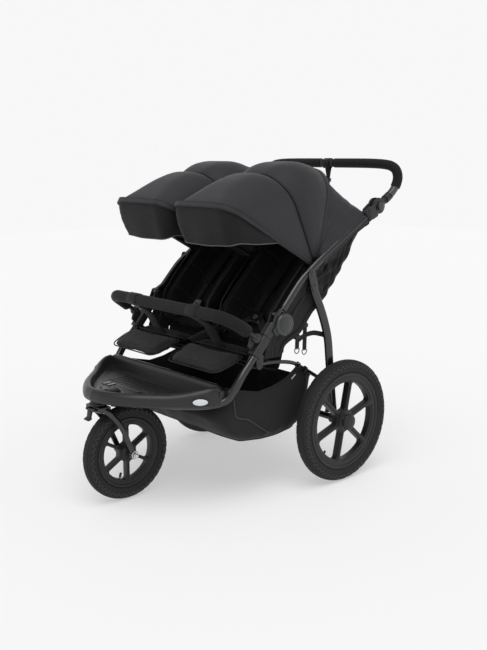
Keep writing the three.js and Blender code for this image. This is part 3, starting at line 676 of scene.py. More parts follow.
lower_collar = sweep("handle_sleeve", resample(handle_path[2:8], 12), circle(14.6, 28), BRACKET,
                     ref=REF_H, ends=1.5)
pair(lower_collar, "handle")
start = next(i for i, q in enumerate(handle_path) if q[2] > 958)
foam = np.vstack([[q for q in handle_path[start:] if q[0] > 34], [(34, *HANDLE_TOP)]])
pair(sweep("grip", resample(foam, 90), circle(16.5, 28), FOAM, ref=REF_H, ends=3), "handle", "grip_*",
     slot="foam")
clip = sweep("clip_body", resample([(-30, *HANDLE_TOP), (30, *HANDLE_TOP)], 9),
             rounded([(14, -13.5), (14, 13.5), (-13.5, 13.5), (-13.5, -13.5)], 6, 6), PLASTIC,
             ref=(0, 1, 0), ends=2.5)
tab = prism("clip_tab", rounded([(294, 1049.6), (270, 1051), (268, 1040), (270, 1022), (294, 1021)], 4), -9,
            9, GLOSS, bevel=1.5)
place(join("handle_clip", clip, tab), "handle", "handle_clip")

# handle joints: round housings over the upper tube ends, push buttons
covers = [lathe("cover", rounded([(face, ON_AXIS), (face, 22), (face + way, 25.6), (edge, 27), (back, 27),
                                  (back, ON_AXIS)], 0.9, 3), BRACKET, KNUCKLE, 0, 64, ring=False)
          for face, way, edge, back in ((291.5, 1, 304.5, 299.5), (324, -1, 311.5, 316.5))]
knuckle_arm = sweep("arm", resample([(FRAME_X, 133, 862.5), (FRAME_X, 150, 873), (FRAME_X, 166, 883)], 10),
                    box(16.2, 18, 8, 6), BRACKET, ends=3)
webs = [prism("web", rounded([(152, 853), (182, 866), (166, 909), (134, 887)], 6), a, b, BRACKET, bevel=1.4)
        for a, b in ((291.5, 299.3), (316.7, 324))]
pin = rod("pin", 296, 320, 8, STEEL, KNUCKLE, 32)
band = sweep("band", resample([(FRAME_X, 136, 864.5), (FRAME_X, 136 + 7.7, 864.5 + 4.8)], 4),
             box(17.2, 19, 8.5, 6), PLASTIC, ends=1)
pair(join("handle_joint", *covers, knuckle_arm, pin, *webs, band), "upper_frame", "handle_joint_*")
button = lathe("tilt_button", rounded([(319.5, ON_AXIS), (319.5, 3.6), (326, 3.6), (326, 14), (329.5, 13.8),
                                       (332, 11.5), (333.4, 6.5), (333.8, ON_AXIS)], 0.6, 3), GREY, KNUCKLE,
               0, 48, ring=False)
pair(button, "tilt_button_*", "tilt_button_*", slot="knob_grey")

# ---------- front end: steering head, tray, fork, lock lever, axle ----------
head = lathe("steering_head", rounded([(322.5, 12.8), (322.5, 28), (328, 28), (329, 24), (366, 24),
                                       (366, ON_AXIS), (361, ON_AXIS), (361, 12.8)], 0.8, 3), PLASTIC, STEER,
             0, 64, ring=False, axis="z")
place(head, "lower_frame", "steering_head")

TRAY_HALF = [(0, -748), (45, -741), (90, -719), (135, -688), (185, -642), (235, -592), (268, -556),
             (290, -522), (300, -494)]


def tray():
    """deep dish with a rolled lip, a tall heel board, ribs, slots and a boss over the steering head"""
    half = spline([(x, y, 0) for x, y in TRAY_HALF], 60)[:, :2]
    line = np.vstack([half[::-1] * (-1, 1), half[1:]])
    d = np.gradient(line, axis=0)
    nrm = np.stack([-d[:, 1], d[:, 0]], 1)
    nrm /= np.linalg.norm(nrm, axis=1, keepdims=True)
    wall = [(13, 347.4), (9, 338), (7, 335.6), (4.6, 335.4), (2.4, 336.6), (0.8, 340), (0, 345), (0.3, 351),
            (1.6, 357.5), (4, 363.5), (8, 368.6), (13, 371.6), (18, 372.6), (22.5, 371.6), (26, 368.5),
            (29.5, 362.6), (34, 357), (39, 353.8), (44, 352.3)]
    rise = 20 * step(line[:, 1], -625, -505)
    rings = []
    for a, z in wall:
        k = np.clip((z - 347) / 26, 0, 1) * (1 if a < 24 else np.clip((40 - a) / 16, 0, 1))
        rings.append(np.c_[line + nrm * a, z + rise * k])
    shell = loft("dish", np.array(rings), TRAY, cap=False, loop=False, sharp=50)
    edge = line + nrm * 43.5
    fore = edge[edge[:, 1] < -493]
    poly = np.vstack([fore, [(fore[-1][0], -489), (fore[0][0], -489)]])
    deck = prism("deck", poly, 347.6, 352.4, TRAY, axis="z", bevel=0)
    parts = [shell, deck]
    board = [(-493, 349), (-492, 356), (-489.6, 380), (-488.6, 390), (-486, 394.4), (-480, 395.6),
             (-473, 394.6), (-470, 391), (-470, 349)]
    rows = []
    for x in np.linspace(-296, 296, 61):
        t = abs(x) / 296
        drop = 16 * step(t, 0.9, 1.0)
        rows.append([(x, y + (3.5 * (1 - t * t) if z > 360 else 0), z - (drop if z > 370 else 0))
                     for y, z in board])
    parts.append(loft("board", rows, TRAY, sharp=50))
    dome = [(352, 44), (356, 42.5), (361, 38.5), (365, 31), (367.6, 20), (368.4, 8), (368.5, ON_AXIS)]
    dome = spline([(a, b, 0) for a, b in dome], 30)[:, :2].tolist() + [(352, ON_AXIS)]
    parts.append(lathe("boss", dome, TRAY, (0, -690), 0, 72, ring=False, axis="z"))
    # the three holes are not cut: gloss black discs on the boss stand for their dark insides, painted shade
    for x, y in ((-14, -700), (14, -700), (0, -680)):
        parts.append(lathe("boss_hole_painted_shade", [(366, ON_AXIS), (366, 4.6), (368.7, 4.6), (368.9, 3.9), (367.6, 3.4),
                                         (367.6, ON_AXIS)], GLOSS, (x, y), 0, 24, ring=False, axis="z"))
    for i in range(15):
        x = -126 + 18 * i
        rib = [(x - 4.2, -604), (x + 4.2, -604), (x + 4.2, -520), (x - 4.2, -520)]
        parts.append(prism("rib", rounded(rib, 3.4, 4), 351, 354.6, TRAY, axis="z", bevel=1.3))
    parts.append(prism("step_pad", rounded([(-150, -616), (150, -616), (168, -508), (-168, -508)], 14, 6),
                       350, 353.2, TRAY, axis="z", bevel=0.9))
    for x in (-96, -72, 72, 96):
        slot = rounded([(x - 8.5, -641.5), (x + 8.5, -641.5), (x + 8.5, -608.5), (x - 8.5, -608.5)], 5, 5)
        parts.append(prism("slot_rim", slot, 352, 354.4, TRAY, axis="z", bevel=1.0))
        # the slot is not cut: a gloss black plug stands for its dark inside, painted shade
        hole = rounded([(x - 6, -639), (x + 6, -639), (x + 6, -611), (x - 6, -611)], 4, 5)
        parts.append(prism("slot", hole, 352, 354.7, GLOSS, axis="z", bevel=0))
    for x, y in ((-250, -530), (250, -530), (-60, -690), (60, -690)):
        parts.append(lathe("screw", [(352, ON_AXIS), (352, 5), (354.6, 4.4), (355.2, 2), (353.8, 1.8),
                                     (353.8, ON_AXIS)], STEEL, (x, y), 0, 20, ring=False, axis="z"))
    skirt = [(-492, 349), (-470, 349), (-470, 337), (-474, 335), (-488, 335.4)]
    parts.append(prism("heel_skirt", skirt, -294, 294, TRAY, bevel=1))
    return join("foot_tray", *parts)


place(tray(), "lower_frame", "foot_tray")


def reflector():
    """oval lens in a bezel on the slanted side of the tray"""
    along = unit((284 - 250.5, -531 + 575, 0))
    out = np.array((along[1], -along[0], 0))
    centre = np.array((274.5, -545, 355))
    lens = sweep("lens", [centre + out * h for h in (3.4, 5, 6.4, 7)], oval(10, 23, 40), LENS, ref=UP,
                 scale=(1, 1, 0.96, 0.86))
    bezel = sweep("bezel", [centre + out * h for h in (3.2, 5.6, 6.2)], oval(12, 25, 40), PLASTIC, ref=UP,
                  scale=(1, 1, 0.95))
    pair(join("reflector", bezel, lens), "lower_frame", "reflector_*", slot="reflector")


reflector()

blade_path = spline([(33, -718, 313), (41, -712, 304), (45, -688, 276), (44, -662, 238), (42, -642, 190),
                     (41, *FRONT_AXLE)], 40)
parts = []
for s in (1, -1):
    parts.append(sweep("blade", blade_path * (s, 1, 1), oval(6, 9, 28), METAL,
                       scale=1 + 0.22 * np.exp(-np.linspace(0, 6, 40))))
    parts.append(prism("dropout", circle(14.6, 40) + FRONT_AXLE, *sorted((s * 35.4, s * 46.8)),
                       METAL, bevel=1.5))
crown = rounded([(-740, 307), (-735, 302.5), (-705, 302.5), (-700, 307), (-700, 320.6), (-740, 320.6)], 3, 4)
parts.append(prism("crown", crown, -39.5, 39.5, METAL, bevel=3))
parts.append(lathe("stem", [(318, ON_AXIS), (318, 12), (357, 12), (358, 11), (358, ON_AXIS)], STEEL, STEER, 0,
                   40, ring=False, axis="z"))
for s in (1, -1):
    parts.append(prism("ear", rounded([(-741, 307), (-741, 317), (-751, 317), (-754.5, 312),
                                       (-751, 307)], 3, 4), *sorted((s * 10.4, s * 19.6)), METAL, bevel=1))
parts.append(rod("lock_pin", -17, 17, 2.3, STEEL, (-749, 312), 20))
place(join("fork", *parts), "fork", "fork", slot="frame_metal")
lever = [prism("lever", rounded([(-752, 316), (-746, 316), (-745, 308), (-749.5, 292), (-752, 283),
                                 (-764, 279.4), (-766, 283), (-757, 288.5), (-754, 308)], 1.6, 4), -9, 9,
               PLASTIC, bevel=1.2)]
lever.append(prism("tip", rounded([(-751, 290), (-757, 288), (-766, 283.4), (-764, 279.4),
                                   (-752, 283)], 1.6, 4), -12.6, 12.6, PLASTIC, bevel=1.4))
place(join("swivel_lock", *lever), "swivel_lock", "swivel_lock")
axle = [rod("spindle", -54, 54, 5, CHROME, FRONT_AXLE, 32)]
for s in (1, -1):
    axle.append(lathe("washer", [(s * 47.6, ON_AXIS), (s * 47.6, 12.4), (s * 49.4, 12.4),
                                 (s * 49.6, ON_AXIS)], CHROME, FRONT_AXLE, 0, 40, ring=False))
    nut = sweep("nut", [at(s * 49.4, FRONT_AXLE), at(s * 55.4, FRONT_AXLE), at(s * 56.8, FRONT_AXLE)],
                circle(10.4, 6), CHROME, ref=UP, scale=(1, 1, 0.9))
    end = lathe("dome", [(s * 56, ON_AXIS), (s * 56, 6.6), (s * 59.5, 6), (s * 61.4, 3.6), (s * 62, ON_AXIS)],
                CHROME, FRONT_AXLE, 0, 32, ring=False)
    axle += [nut, end]
place(join("front_axle", *axle), "fork", "front_axle", slot="chrome")

# ---------- side brackets, fold hinges, round lock covers ----------
clamp_path = spline([(FRAME_X, -320, 521), (FRAME_X, -342, 496), (FRAME_X, -364, 469)], 14)
clamp = sweep("clamp", clamp_path, rounded([(15.6, -16.8), (15.6, 16.8), (-14.8, 16.8),
                                            (-14.8, -16.8)], 7, 6), BRACKET, ends=2.2)
lug = prism("lug", rounded([(-372, 486), (-346, 506), (-349, 527), (-354, 536), (-362, 540), (-370, 536),
                            (-375, 527), (-384, 500)], 4, 4), 300.3, 308, BRACKET, bevel=1.2)
ear = [(-334, 474), (-364, 466), (-363, 440), (-359, 430), (-350, 427), (-341, 430), (-336, 440)]
ears = [prism("ear", rounded(ear, 5, 5), a, b, BRACKET, bevel=1) for a, b in ((296, 300), (316, 320))]
ears.append(rod("ear_pin", 297, 319, 4, STEEL, STAY_PIN, 24))
ears.append(bolt("ear_bolt", 320, STAY_PIN, 6.5, BOLT, 3))
ears.append(bolt("clamp_bolt_a", 323.4, (-331, 510), 4.6, BOLT, 2.6))
ears.append(bolt("clamp_bolt_b", 323.4, (-353, 484), 4.6, BOLT, 2.6))
pair(join("side_bracket", clamp, lug, *ears), "lower_frame", "side_bracket_*")
side = rounded([(-312, 530), (-296, 522), (-276, 546), (-264, 580), (-263, 592), (-272, 599),
                (-283, 595)], 5, 5)
hinge = [prism("cheek", side, a, b, BRACKET, bevel=1.1) for a, b in ((295.2, 299), (316.5, 320.8))]
hinge.append(sweep("socket", resample([(FRAME_X, -289, 555), (FRAME_X, -318, 523)], 8),
                   rounded([(13.2, -15.5), (13.2, 16.5), (-13, 16.5), (-13, -15.5)], 6, 6),
                   BRACKET, ends=1.5))
hinge.append(rod("fold_pin", 297, 319, 4.5, STEEL, FOLD, 32))
hinge.append(bolt("fold_bolt", 320.6, FOLD, 8.4, BOLT, 3.2))
hinge.append(bolt("fold_bolt_in", 295.4, FOLD, 8.4, BOLT, 3.0, -1))
pair(join("fold_hinge", *hinge), "lower_frame", "fold_hinge_*")
disc_c = (-252, 555)
cover = lathe("lock_rim", rounded([(321.6, ON_AXIS), (321.6, 34.5), (326.5, 35), (330.6, 32.5), (331.8, 29),
                                   (330.2, 26.4), (329.4, ON_AXIS)], 0.8, 4), GREY, disc_c, 0, 80, ring=False)
centre = lathe("lock_face", [(329, ON_AXIS), (329, 26), (330.6, 25.6), (332.2, 20), (333, 10),
                             (333.2, ON_AXIS)], GLOSS, disc_c, 0, 72, ring=False)
arm = prism("lock_arm", rounded([(-302, 540), (-284, 520), (-262, 535), (-262, 565), (-278, 568)], 6, 5),
            321.6, 325.2, BRACKET, bevel=1)
pair(join("fold_lock", cover, centre, arm), "lower_frame", "fold_lock_*", slot="knob_grey")

# ---------- rear legs, axle, stays, parking brake ----------
leg_path = spline([(FRAME_X, -118, 678), (FRAME_X, -105, 640), (FRAME_X, -66, 560), (FRAME_X, -40, 484),
                   (FRAME_X, -27, 386), (FRAME_X, -12, 280), (FRAME_X, *REAR_AXLE)], 90)
grow = 1 - 0.12 * step(np.linspace(0, 1, 90), 0.5, 1)
leg = [sweep("leg", leg_path, box(8.5, 15, 7.6, 8), METAL, scale=grow, ends=1.5)]
plate_pts = rounded([(-141, 717), (-126, 717), (-117, 704), (-103, 660), (-105, 638), (-123, 641),
                     (-139, 668), (-149, 700)], 6, 5)
leg += [prism("leg_plate", plate_pts, a, b, METAL, bevel=0.9) for a, b in ((321, 324), (292, 295))]
leg.append(prism("leg_block", rounded([(-123, 673), (-106, 669), (-103, 644), (-119, 644)], 3), 292.5, 323.5,
                 METAL, bevel=1.5))
leg.append(rod("leg_pin", 293, 323, 4.5, STEEL, LEG_TOP, 24))
leg += [bolt("leg_bolt", 324, LEG_TOP, 6, BOLT, 2.4), bolt("leg_bolt_b", 324, (-119, 662), 4.4, BOLT, 2.0)]
leg.append(lathe("axle_boss", rounded([(298, 11.6), (298, 18.5), (317, 18.5), (317, 11.6)], 1.5, 4), BRACKET,
                 REAR_AXLE, 0, 48))
pair(join("rear_leg", *leg), "rear_legs", "rear_leg_*", slot="frame_metal")
beam = rounded([(-318, ON_AXIS), (-318, 11), (318, 11), (318, ON_AXIS)], 0.8, 3)
axle = [lathe("beam", beam, METAL, REAR_AXLE, 0, 40, ring=False),
        rod("rod", -378, 378, 6, STEEL, REAR_AXLE, 32)]
place(join("rear_axle", *axle), "rear_legs", "rear_axle", slot="steel")
stay_path = spline([(FRAME_X, *STAY_PIN), (FRAME_X, -300, 440), (FRAME_X, -225, 430), (305, -185, 418),
                    (296, -152, 401), (292.5, -124, 386), (292.5, -60, 347), (292.5, *STAY_END)], 80)
stay = [sweep("rod", stay_path, oval(4.8, 6.2, 20), METAL),
        lathe("eye", rounded([(303, 4.8), (303, 10), (313, 10), (313, 4.8)], 1, 3), METAL, STAY_PIN, 0, 40),
        lathe("foot", rounded([(288.6, ON_AXIS), (288.6, 11), (296.4, 11), (296.4, ON_AXIS)], 1.2, 3),
              PLASTIC, STAY_END, 0, 40, ring=False)]
pair(join("basket_stay", *stay), "stay_*", "basket_stay_*", slot="frame_metal")
coils, coil_r, coil_z, coil_h = 8, 7.6, 226, 50
turns = np.linspace(0, coils * 2 * math.pi, coils * 18)
coil = np.stack([BRAKE_SPRING[0] + coil_r * np.cos(turns), BRAKE_SPRING[1] + coil_r * np.sin(turns),
                 coil_z + turns / turns[-1] * coil_h], 1)
spring = [sweep("coil", coil, circle(1.5, 8), STEEL, ref=UP)]
for z0, z1, r in ((219, 226, 9.5), (276, 283, 9.5), (222, 280, 4.2)):
    spring.append(lathe("seat", rounded([(z0, ON_AXIS), (z0, r), (z1, r), (z1, ON_AXIS)], 1, 3),
                        PLASTIC if r > 5 else STEEL, BRAKE_SPRING, 0, 32, ring=False, axis="z"))
pair(join("brake_spring", *spring), "rear_legs", "brake_spring_*", slot="steel")
barrel = rounded([(-60, 11.7), (-60, 16.6), (60, 16.6), (60, 11.7)], 1.4, 4)
pedal = rounded([(7, 215.6), (66, 230.5), (71, 231), (73.4, 226), (70, 223.6), (14, 208.6)], 2.4, 5)
brake = [lathe("barrel", barrel, PLASTIC, REAR_AXLE, 0, 48),
         prism("pedal", pedal, -48, 48, PLASTIC, bevel=2.5)]
for i in range(5):
    y = 32 + i * 8
    z = 216 + (y - 7) * 0.262
    brake.append(prism("tread", [(y, z + 4.6), (y + 3.4, z + 5.5), (y + 3.4, z + 7.6), (y, z + 6.7)], -40, 40,
                       GREY, bevel=0.7))
place(join("brake_pedal", *brake), "foot_brake", "brake_pedal")

# ---------- bumper bar ----------
half = spline([(314, *BUMPER_PIN), (313, -384, 543), (FRAME_X, -420, 568), (296, -448, 586), (268, -464, 596),
               (230, *BUMPER_BAR), (0, *BUMPER_BAR)], 80)
bow = mirrored(half)
parts = [sweep("core", bow, circle(5.2, 16), PLASTIC, ref=UP)]
for s in (1, -1):
    parts.append(prism("eye", circle(14.8, 48) + BUMPER_PIN, *sorted((s * 311, s * 322)), BRACKET, bevel=1.5))
    parts.append(rod("pin", s * 298.5, s * 322, 4.8, STEEL, BUMPER_PIN, 24))
    parts.append(bolt("eye_bolt", s * 322, BUMPER_PIN, 7.5, BOLT, 3.2, s))
    neck = resample([(s * 316, *BUMPER_PIN), (s * 315, -377, 538), (s * 312.6, -390, 548)], 8)
    parts.append(sweep("neck", neck, oval(6.6, 10, 20), BRACKET, ref=UP, scale=np.linspace(1.25, 1, 8)))
place(join("bumper_bar", *parts), "bumper", "bumper_bar")
pad_line = np.array([q for q in bow if q[1] < -391.5])
pad_line = resample(pad_line, 150)
place(sweep("bumper_foam", pad_line, circle(19, 32), FOAM, ref=UP, ends=9), "bumper",
      "bumper_foam", slot="foam")
place(sweep("foam_seam", pad_line[4:-4] + (0, 6.2, -17.9), circle(0.9, 8), THREAD, ref=UP), "bumper")


# ---------- kit: cloth ----------
CLOTH_T = 1.4  # thickness of the heavier cloths
CLOTH_SHARP = 60  # folds steeper than this many degrees shade as hard edges


def thicken(P, t, nrm):
    """closed sheet of thickness t behind the grid P; returns rings for loft"""
    back = P - nrm * t
    return np.concatenate([P, back[:, ::-1]], 1)


def normals(P):
    n = np.cross(np.gradient(P, axis=0), np.gradient(P, axis=1))
    return n / np.maximum(np.linalg.norm(n, axis=2, keepdims=True), 1e-9)


def cloth_grid(name, P, mat, t, outward):
    """a sheet with both its faces and its cut edges from a grid of points"""
    n = normals(P)
    if (n.mean((0, 1)) @ np.asarray(outward, float)) < 0:
        n = -n
    return loft(name, thicken(P, t, n), mat, sharp=CLOTH_SHARP)


def wrinkles(P, amount, seed):
    """smooth random displacement for a grid, in millimetres"""
    rng = np.random.default_rng(seed)
    a, b = P.shape[:2]
    s, t = np.meshgrid(np.linspace(0, 1, a), np.linspace(0, 1, b), indexing="ij")
    out = np.zeros((a, b))
    for _ in range(9):
        k = rng.uniform(1.5, 7, 2)
        out += rng.uniform(0.3, 1) / k.max() * 2 * np.sin(2 * math.pi * (k[0] * s + k[1] * t + rng.uniform()))
    return amount * out / 2


PRESSURE, CLOTH_FRAMES = 4.0, 20
PAD_VOXEL, BACK_VOXEL = 4.5, 5.5  # mesh sizes of the pads and the seat backs, in mm


def inflate(o, voxel, cap):
    """blows a closed form up as cloth; no point goes further than cap millimetres"""
    r = o.modifiers.new("remesh", "REMESH")
    r.mode = "VOXEL"
    r.voxel_size = voxel / 1000
    bake(o)
    start = points(o).copy()
    scene = bpy.context.scene
    c = o.modifiers.new("cloth", "CLOTH")
    c.settings.quality = 4
    c.settings.mass = 0.2
    c.settings.tension_stiffness = 18
    c.settings.compression_stiffness = 12
    c.settings.bending_stiffness = 0.4
    c.settings.use_pressure = True
    c.settings.uniform_pressure_force = PRESSURE
    c.settings.effector_weights.gravity = 0
    c.point_cache.frame_start = 1
    c.point_cache.frame_end = CLOTH_FRAMES
    for k in range(1, CLOTH_FRAMES + 1):
        scene.frame_set(k)
    q = o.evaluated_get(bpy.context.evaluated_depsgraph_get()).data
    end = np.empty(len(q.vertices) * 3)
    q.vertices.foreach_get("co", end)
    o.modifiers.clear()
    scene.frame_set(1)
    d = end.reshape(-1, 3) - start
    far = np.linalg.norm(d, axis=1, keepdims=True)
    put_points(o, start + d * np.minimum(1, cap / 1000 / np.maximum(far, 1e-9)))
    s = o.modifiers.new("smooth", "SMOOTH")
    s.factor = 0.5
    s.iterations = 2
    bake(o)
    s = o.modifiers.new("sub", "SUBSURF")
    s.levels = 1
    bake(o)
    for f in o.data.polygons:
        f.use_smooth = True
    return o


def bake(o):
    """applies the modifiers"""
    q = o.evaluated_get(bpy.context.evaluated_depsgraph_get())
    m = bpy.data.meshes.new_from_object(q)
    o.modifiers.clear()
    old = o.data
    o.data = m
    bpy.data.meshes.remove(old)


def axle_points(o):
    return points(o) * 1000 - (0, AXLE_Y, 0)


def groove(o, lines, depth, width, face=None):
    """sewn channels: sinks the surface along polylines, within width of each; face limits it to one side"""
    p = axle_points(o)
    nrm = np.empty(len(o.data.vertices) * 3)
    o.data.vertices.foreach_get("normal", nrm)
    nrm = nrm.reshape(-1, 3)
    sink = np.zeros(len(p))
    for line in lines:
        q = resample(line, max(int(np.linalg.norm(np.diff(line, axis=0), axis=1).sum() / 4), 8))
        best = np.full(len(p), 1e9)
        for k in range(0, len(q), 40):
            part = q[k:k + 41]
            best = np.minimum(best, np.linalg.norm(p[:, None] - part[None], axis=2).min(1))
        sink = np.maximum(sink, np.exp(-(best / width * 1.7) ** 2))
    if face is not None:
        sink *= np.clip(nrm @ unit(face) * 2, 0, 1)
    put_points(o, points(o) - nrm * (sink * depth / 1000)[:, None])


def strap(name, path, w, t=1.8, mat=WEBBING, ref=ACROSS, n=None, scale=None):
    """flat webbing; ref is the direction its width leans to"""
    p = resample(path, n) if n else path
    return sweep(name, p, flat(w, t), mat, ref=ref, sharp=50, scale=scale)


def piping(name, line, body, r, mat=PIPING, ref=UP, **how):
    pair(sweep(name, line, circle(r, 10), mat, ref=ref, **how), body)


def web_sheet(o):
    """returns the piece of webbing as it is"""
    return o


# ---------- canopies ----------
BOW_BASE, BOW_LEAN, BOW_CROWN = 31.0, 3.0, 3.0  # foot height, inward lean and rise in the middle
BOW_N = 81  # points round a bow


def arch(half, top, corner, n):
    """one bow in its own plane as (x, distance from the canopy pivot)"""
    t = np.linspace(0, math.pi / 2, 14)
    left = [(-half + corner * (1 - math.cos(a)), top - corner + corner * math.sin(a)) for a in t]
    pts = [(-half + BOW_LEAN, BOW_BASE), (-half + BOW_LEAN * 0.3, (BOW_BASE + top - corner) / 2)] + left
    pts = np.array(pts + [(-x, d) for x, d in pts[::-1]])
    pts = resample(pts, n)
    pts[:, 1] += BOW_CROWN * np.cos(np.clip(pts[:, 0] / half, -1, 1) * math.pi / 2)
    return pts


def bow_line(deg, top, half, corner, out=0.0, n=BOW_N):
    plane = arch(half + out, top + out, corner + out, n)
    return np.array([(SEAT_X + x, *polar(CANOPY, d, deg)) for x, d in plane])


# angle about the canopy pivot, height, half width, corner radius
BOW3, BOW2, BOW1 = (77, 311, 137, 100), (115.6, 317, 138.5, 112), (152, 417, 141, 52)
BOWS = ((BOW3, "upper_frame", "rear"), (BOW2, "canopy_mid_*", "middle"), (BOW1, "canopy_front_*", "front"))


def panel(rows, n, puff, seed):
    """continuous curved sheet through bow rows (angle, top, half width, corner), full between its two bows"""
    ctrl = spline(np.array(rows, float), n)
    P = np.array([bow_line(*r) for r in ctrl])
    N = normals(P)
    middle = n // 2, BOW_N // 2
    if (P[middle] - (SEAT_X, *CANOPY)) @ N[middle] < 0:
        N = -N
    t = np.linspace(0, 1, n)[:, None]
    u = np.abs(np.linspace(-1, 1, P.shape[1]))[None]
    open_end = 1 - step(u, 0.72, 1.0) * 0.92
    d = puff * np.sin(math.pi * t) ** 0.75 * open_end
    edge = np.exp(-t * 14) + np.exp(-(1 - t) * 14)
    phase = np.linspace(0, 1, P.shape[1])[None]
    pucker = np.sin(phase * 2 * math.pi * 26 + 2.0 * np.sin(phase * 9 + seed))
    d = d + edge * pucker * np.sin(math.pi * t)
    d = d + wrinkles(P, 0.8, seed=seed) * np.sin(math.pi * t) ** 0.5 * (0.5 + 0.5 * u)
    return P + N * d[..., None], N


def fan_point(bow):
    """where a bow's plane passes through the middle of its cloth"""
    return tuple(V((SEAT_X, *polar(CANOPY, 262, bow[0]))))


def declare_panel():
    """returns a step that leaves a sheet as it is; declares a stretched sheet of w by h
    metres whose flat area is just under the built one
    """
    def soft(o):
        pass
    return soft


def mirror_point(p):
    return -p[0], p[1], p[2]


def blended_pair(o, start, end, node, soft):
    """left and right copies of the cloth, each run through soft, its transform baked in and its node hidden;
    start and end are not used
    """
    left, right = pair(o, None)
    for q, side, k in ((left, "left", lambda v: v), (right, "right", mirror_point)):
        soft(q)
        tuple(k(start))
        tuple(k(end))
        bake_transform(q)
        if node:
            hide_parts(node.replace("*", side))


P, N = panel([BOW3, (90, 314, 138, 100), (103, 316, 138.5, 100), BOW2], n=35, puff=12.5, seed=3)
o = loft("canopy_middle", thicken(P, CLOTH_T, N), CLOTH, sharp=CLOTH_SHARP)
blended_pair(o, fan_point(BOW3), fan_point(BOW2), "canopy_mid_*",
             declare_panel())
P, N = panel([BOW2, (121, 338, 139, 116), (130, 358, 139.5, 112), (141, 382, 140, 92), BOW1], n=45,
             puff=3.0, seed=8)
o = loft("canopy_fore", thicken(P, CLOTH_T, N), CLOTH, sharp=CLOTH_SHARP)
blended_pair(o, fan_point(BOW2), fan_point(BOW1), "canopy_front_*",
             declare_panel())


def rear_panel():
    """ruled cloth from the rear hoop to the cross tube, over the side tube and down outside it"""
    hoop = bow_line(*BOW3)
    drop = np.array((0, 0.44, -0.9))

    def rail(y, lift, x):
        return np.array((x, y, np.interp(y, [-90, -20, 60, 146], [733, 778, 826, 868]))) - drop * lift

    inner = [np.array((x, y, z)) for x, y, z in ((17, -70, 742), (16, 0, 786), (15, 80, 840), (16, 132, 876))]
    across = [np.array((x, 147, 880.5)) for x in (30, 80, 156, 230, 275)]
    lines = []
    for lift, x in ((13.5, 313), (-15, 323.5)):
        side = [rail(y, lift, x) for y in (128, 100, 50, 0, -50, -78)]
        lines.append(resample(spline(inner + across + side, 160), BOW_N))
    rows, n = [], 41
    lap, over = 0.82, 0.18  # shares of the rows: up to the cross tube, then down over the side tube
    for v in np.linspace(0, 1, n):
        if v < lap:
            k = v / lap
            row = hoop * (1 - k) + lines[0] * k
            sag = 9 * math.sin(math.pi * k) * np.sin(math.pi * np.linspace(0, 1, BOW_N))
            row = row - sag[:, None] * (0, 0.5, 0.8)
        else:
            k = (v - lap) / over
            row = lines[0] * (1 - k) + lines[1] * k
        rows.append(row)
    P = np.array(rows)
    P[:, :, 0] = np.maximum(P[:, :, 0], 12)
    v = np.linspace(0, 1, n)[:, None]
    N = normals(P)
    if N[n // 2, BOW_N // 2] @ (0, 0.5, 0.8) < 0:
        N = -N
    ripple = wrinkles(P, 2.0, seed=5) + 1.1 * np.sin(np.linspace(0, 60, BOW_N))[None]
    P = P + N * (ripple * np.sin(math.pi * v) ** 0.7)[..., None]
    o = loft("canopy_rear", thicken(P, CLOTH_T, N), CLOTH, sharp=CLOTH_SHARP)
    pair(o, "upper_frame", "canopy_rear_*", slot="fabric", soft=declare_panel())
    for k, line, r, mat in (("hem", P[-1], 1.9, PIPING), ("stitch", P[-4] + N[-4] * 0.4, 0.5, THREAD)):
        pair(sweep("rear_panel_" + k, line[2:-2], circle(r, 8), mat, ref=UP), "upper_frame")
    sleeve = [(x, 146, 868) for x in (22, 100, 200, 286)]
    o = sweep("cross_tube_sleeve", resample(sleeve, 40), circle(12.8, 24), CLOTH, ref=UP, sharp=CLOTH_SHARP,
              scale=1 + 0.035 * np.sin(np.arange(40) * 1.9))
    pair(o, "upper_frame", soft=lambda q: q)


rear_panel()


def bow_cover(name, deg, spec, body, w):
    """hoop sleeve sewn over a bow: two lines of piping with a band of cloth between them"""
    _, top, half, corner = spec
    line = bow_line(deg, top, half, corner, 2.0)
    tan = np.gradient(line, axis=0)
    out = line - np.array((SEAT_X, *CANOPY))
    side = np.cross(tan, out)
    o = sweep(name, line, rounded([(-w / 2, -2.4), (w / 2, -2.4), (w / 2 - 1.5, 0.6), (0, 2.3),
                                   (-w / 2 + 1.5, 0.6)], 1.2, 3), CLOTH, ref=side, sharp=CLOTH_SHARP)
    pair(o, body, soft=lambda q: q)
    for k in (-1, 1):
        a = math.degrees(w / 2 / top) * k
        piping(f"{name}_piping_{'ab'[k > 0]}", bow_line(deg + a, top, half, corner, 3.0), body, 1.9)


bow_cover("bow_rear_cover", 76.6, BOW3, "upper_frame", w=20)
piping("bow_middle_piping", bow_line(*BOW2, 2.6), "canopy_mid_*", 2.7)
bow_cover("bow_front_cover", 151.0, BOW1, "canopy_front_*", w=15)
for spec, body, which in BOWS:
    pair(sweep("bow_wire_" + which, bow_line(*spec, -5.5), circle(3.4, 12), PLASTIC, ref=UP), body)
for x in (-1, 1):
    for k, ((deg, *_), body, _) in enumerate(BOWS):
        y, z = polar(CANOPY, 34, deg)
        line = [(SEAT_X + x * (134 - 2.2 * k), *CANOPY), (SEAT_X + x * (134.5 - 2.2 * k), y, z),
                (SEAT_X + x * 134.5, *polar(CANOPY, 48, deg))]
        pair(sweep(f"bow_foot_{k}_{'io'[x > 0]}", line, oval(1.0, 8.5, 16), PLASTIC, ends=2), body)


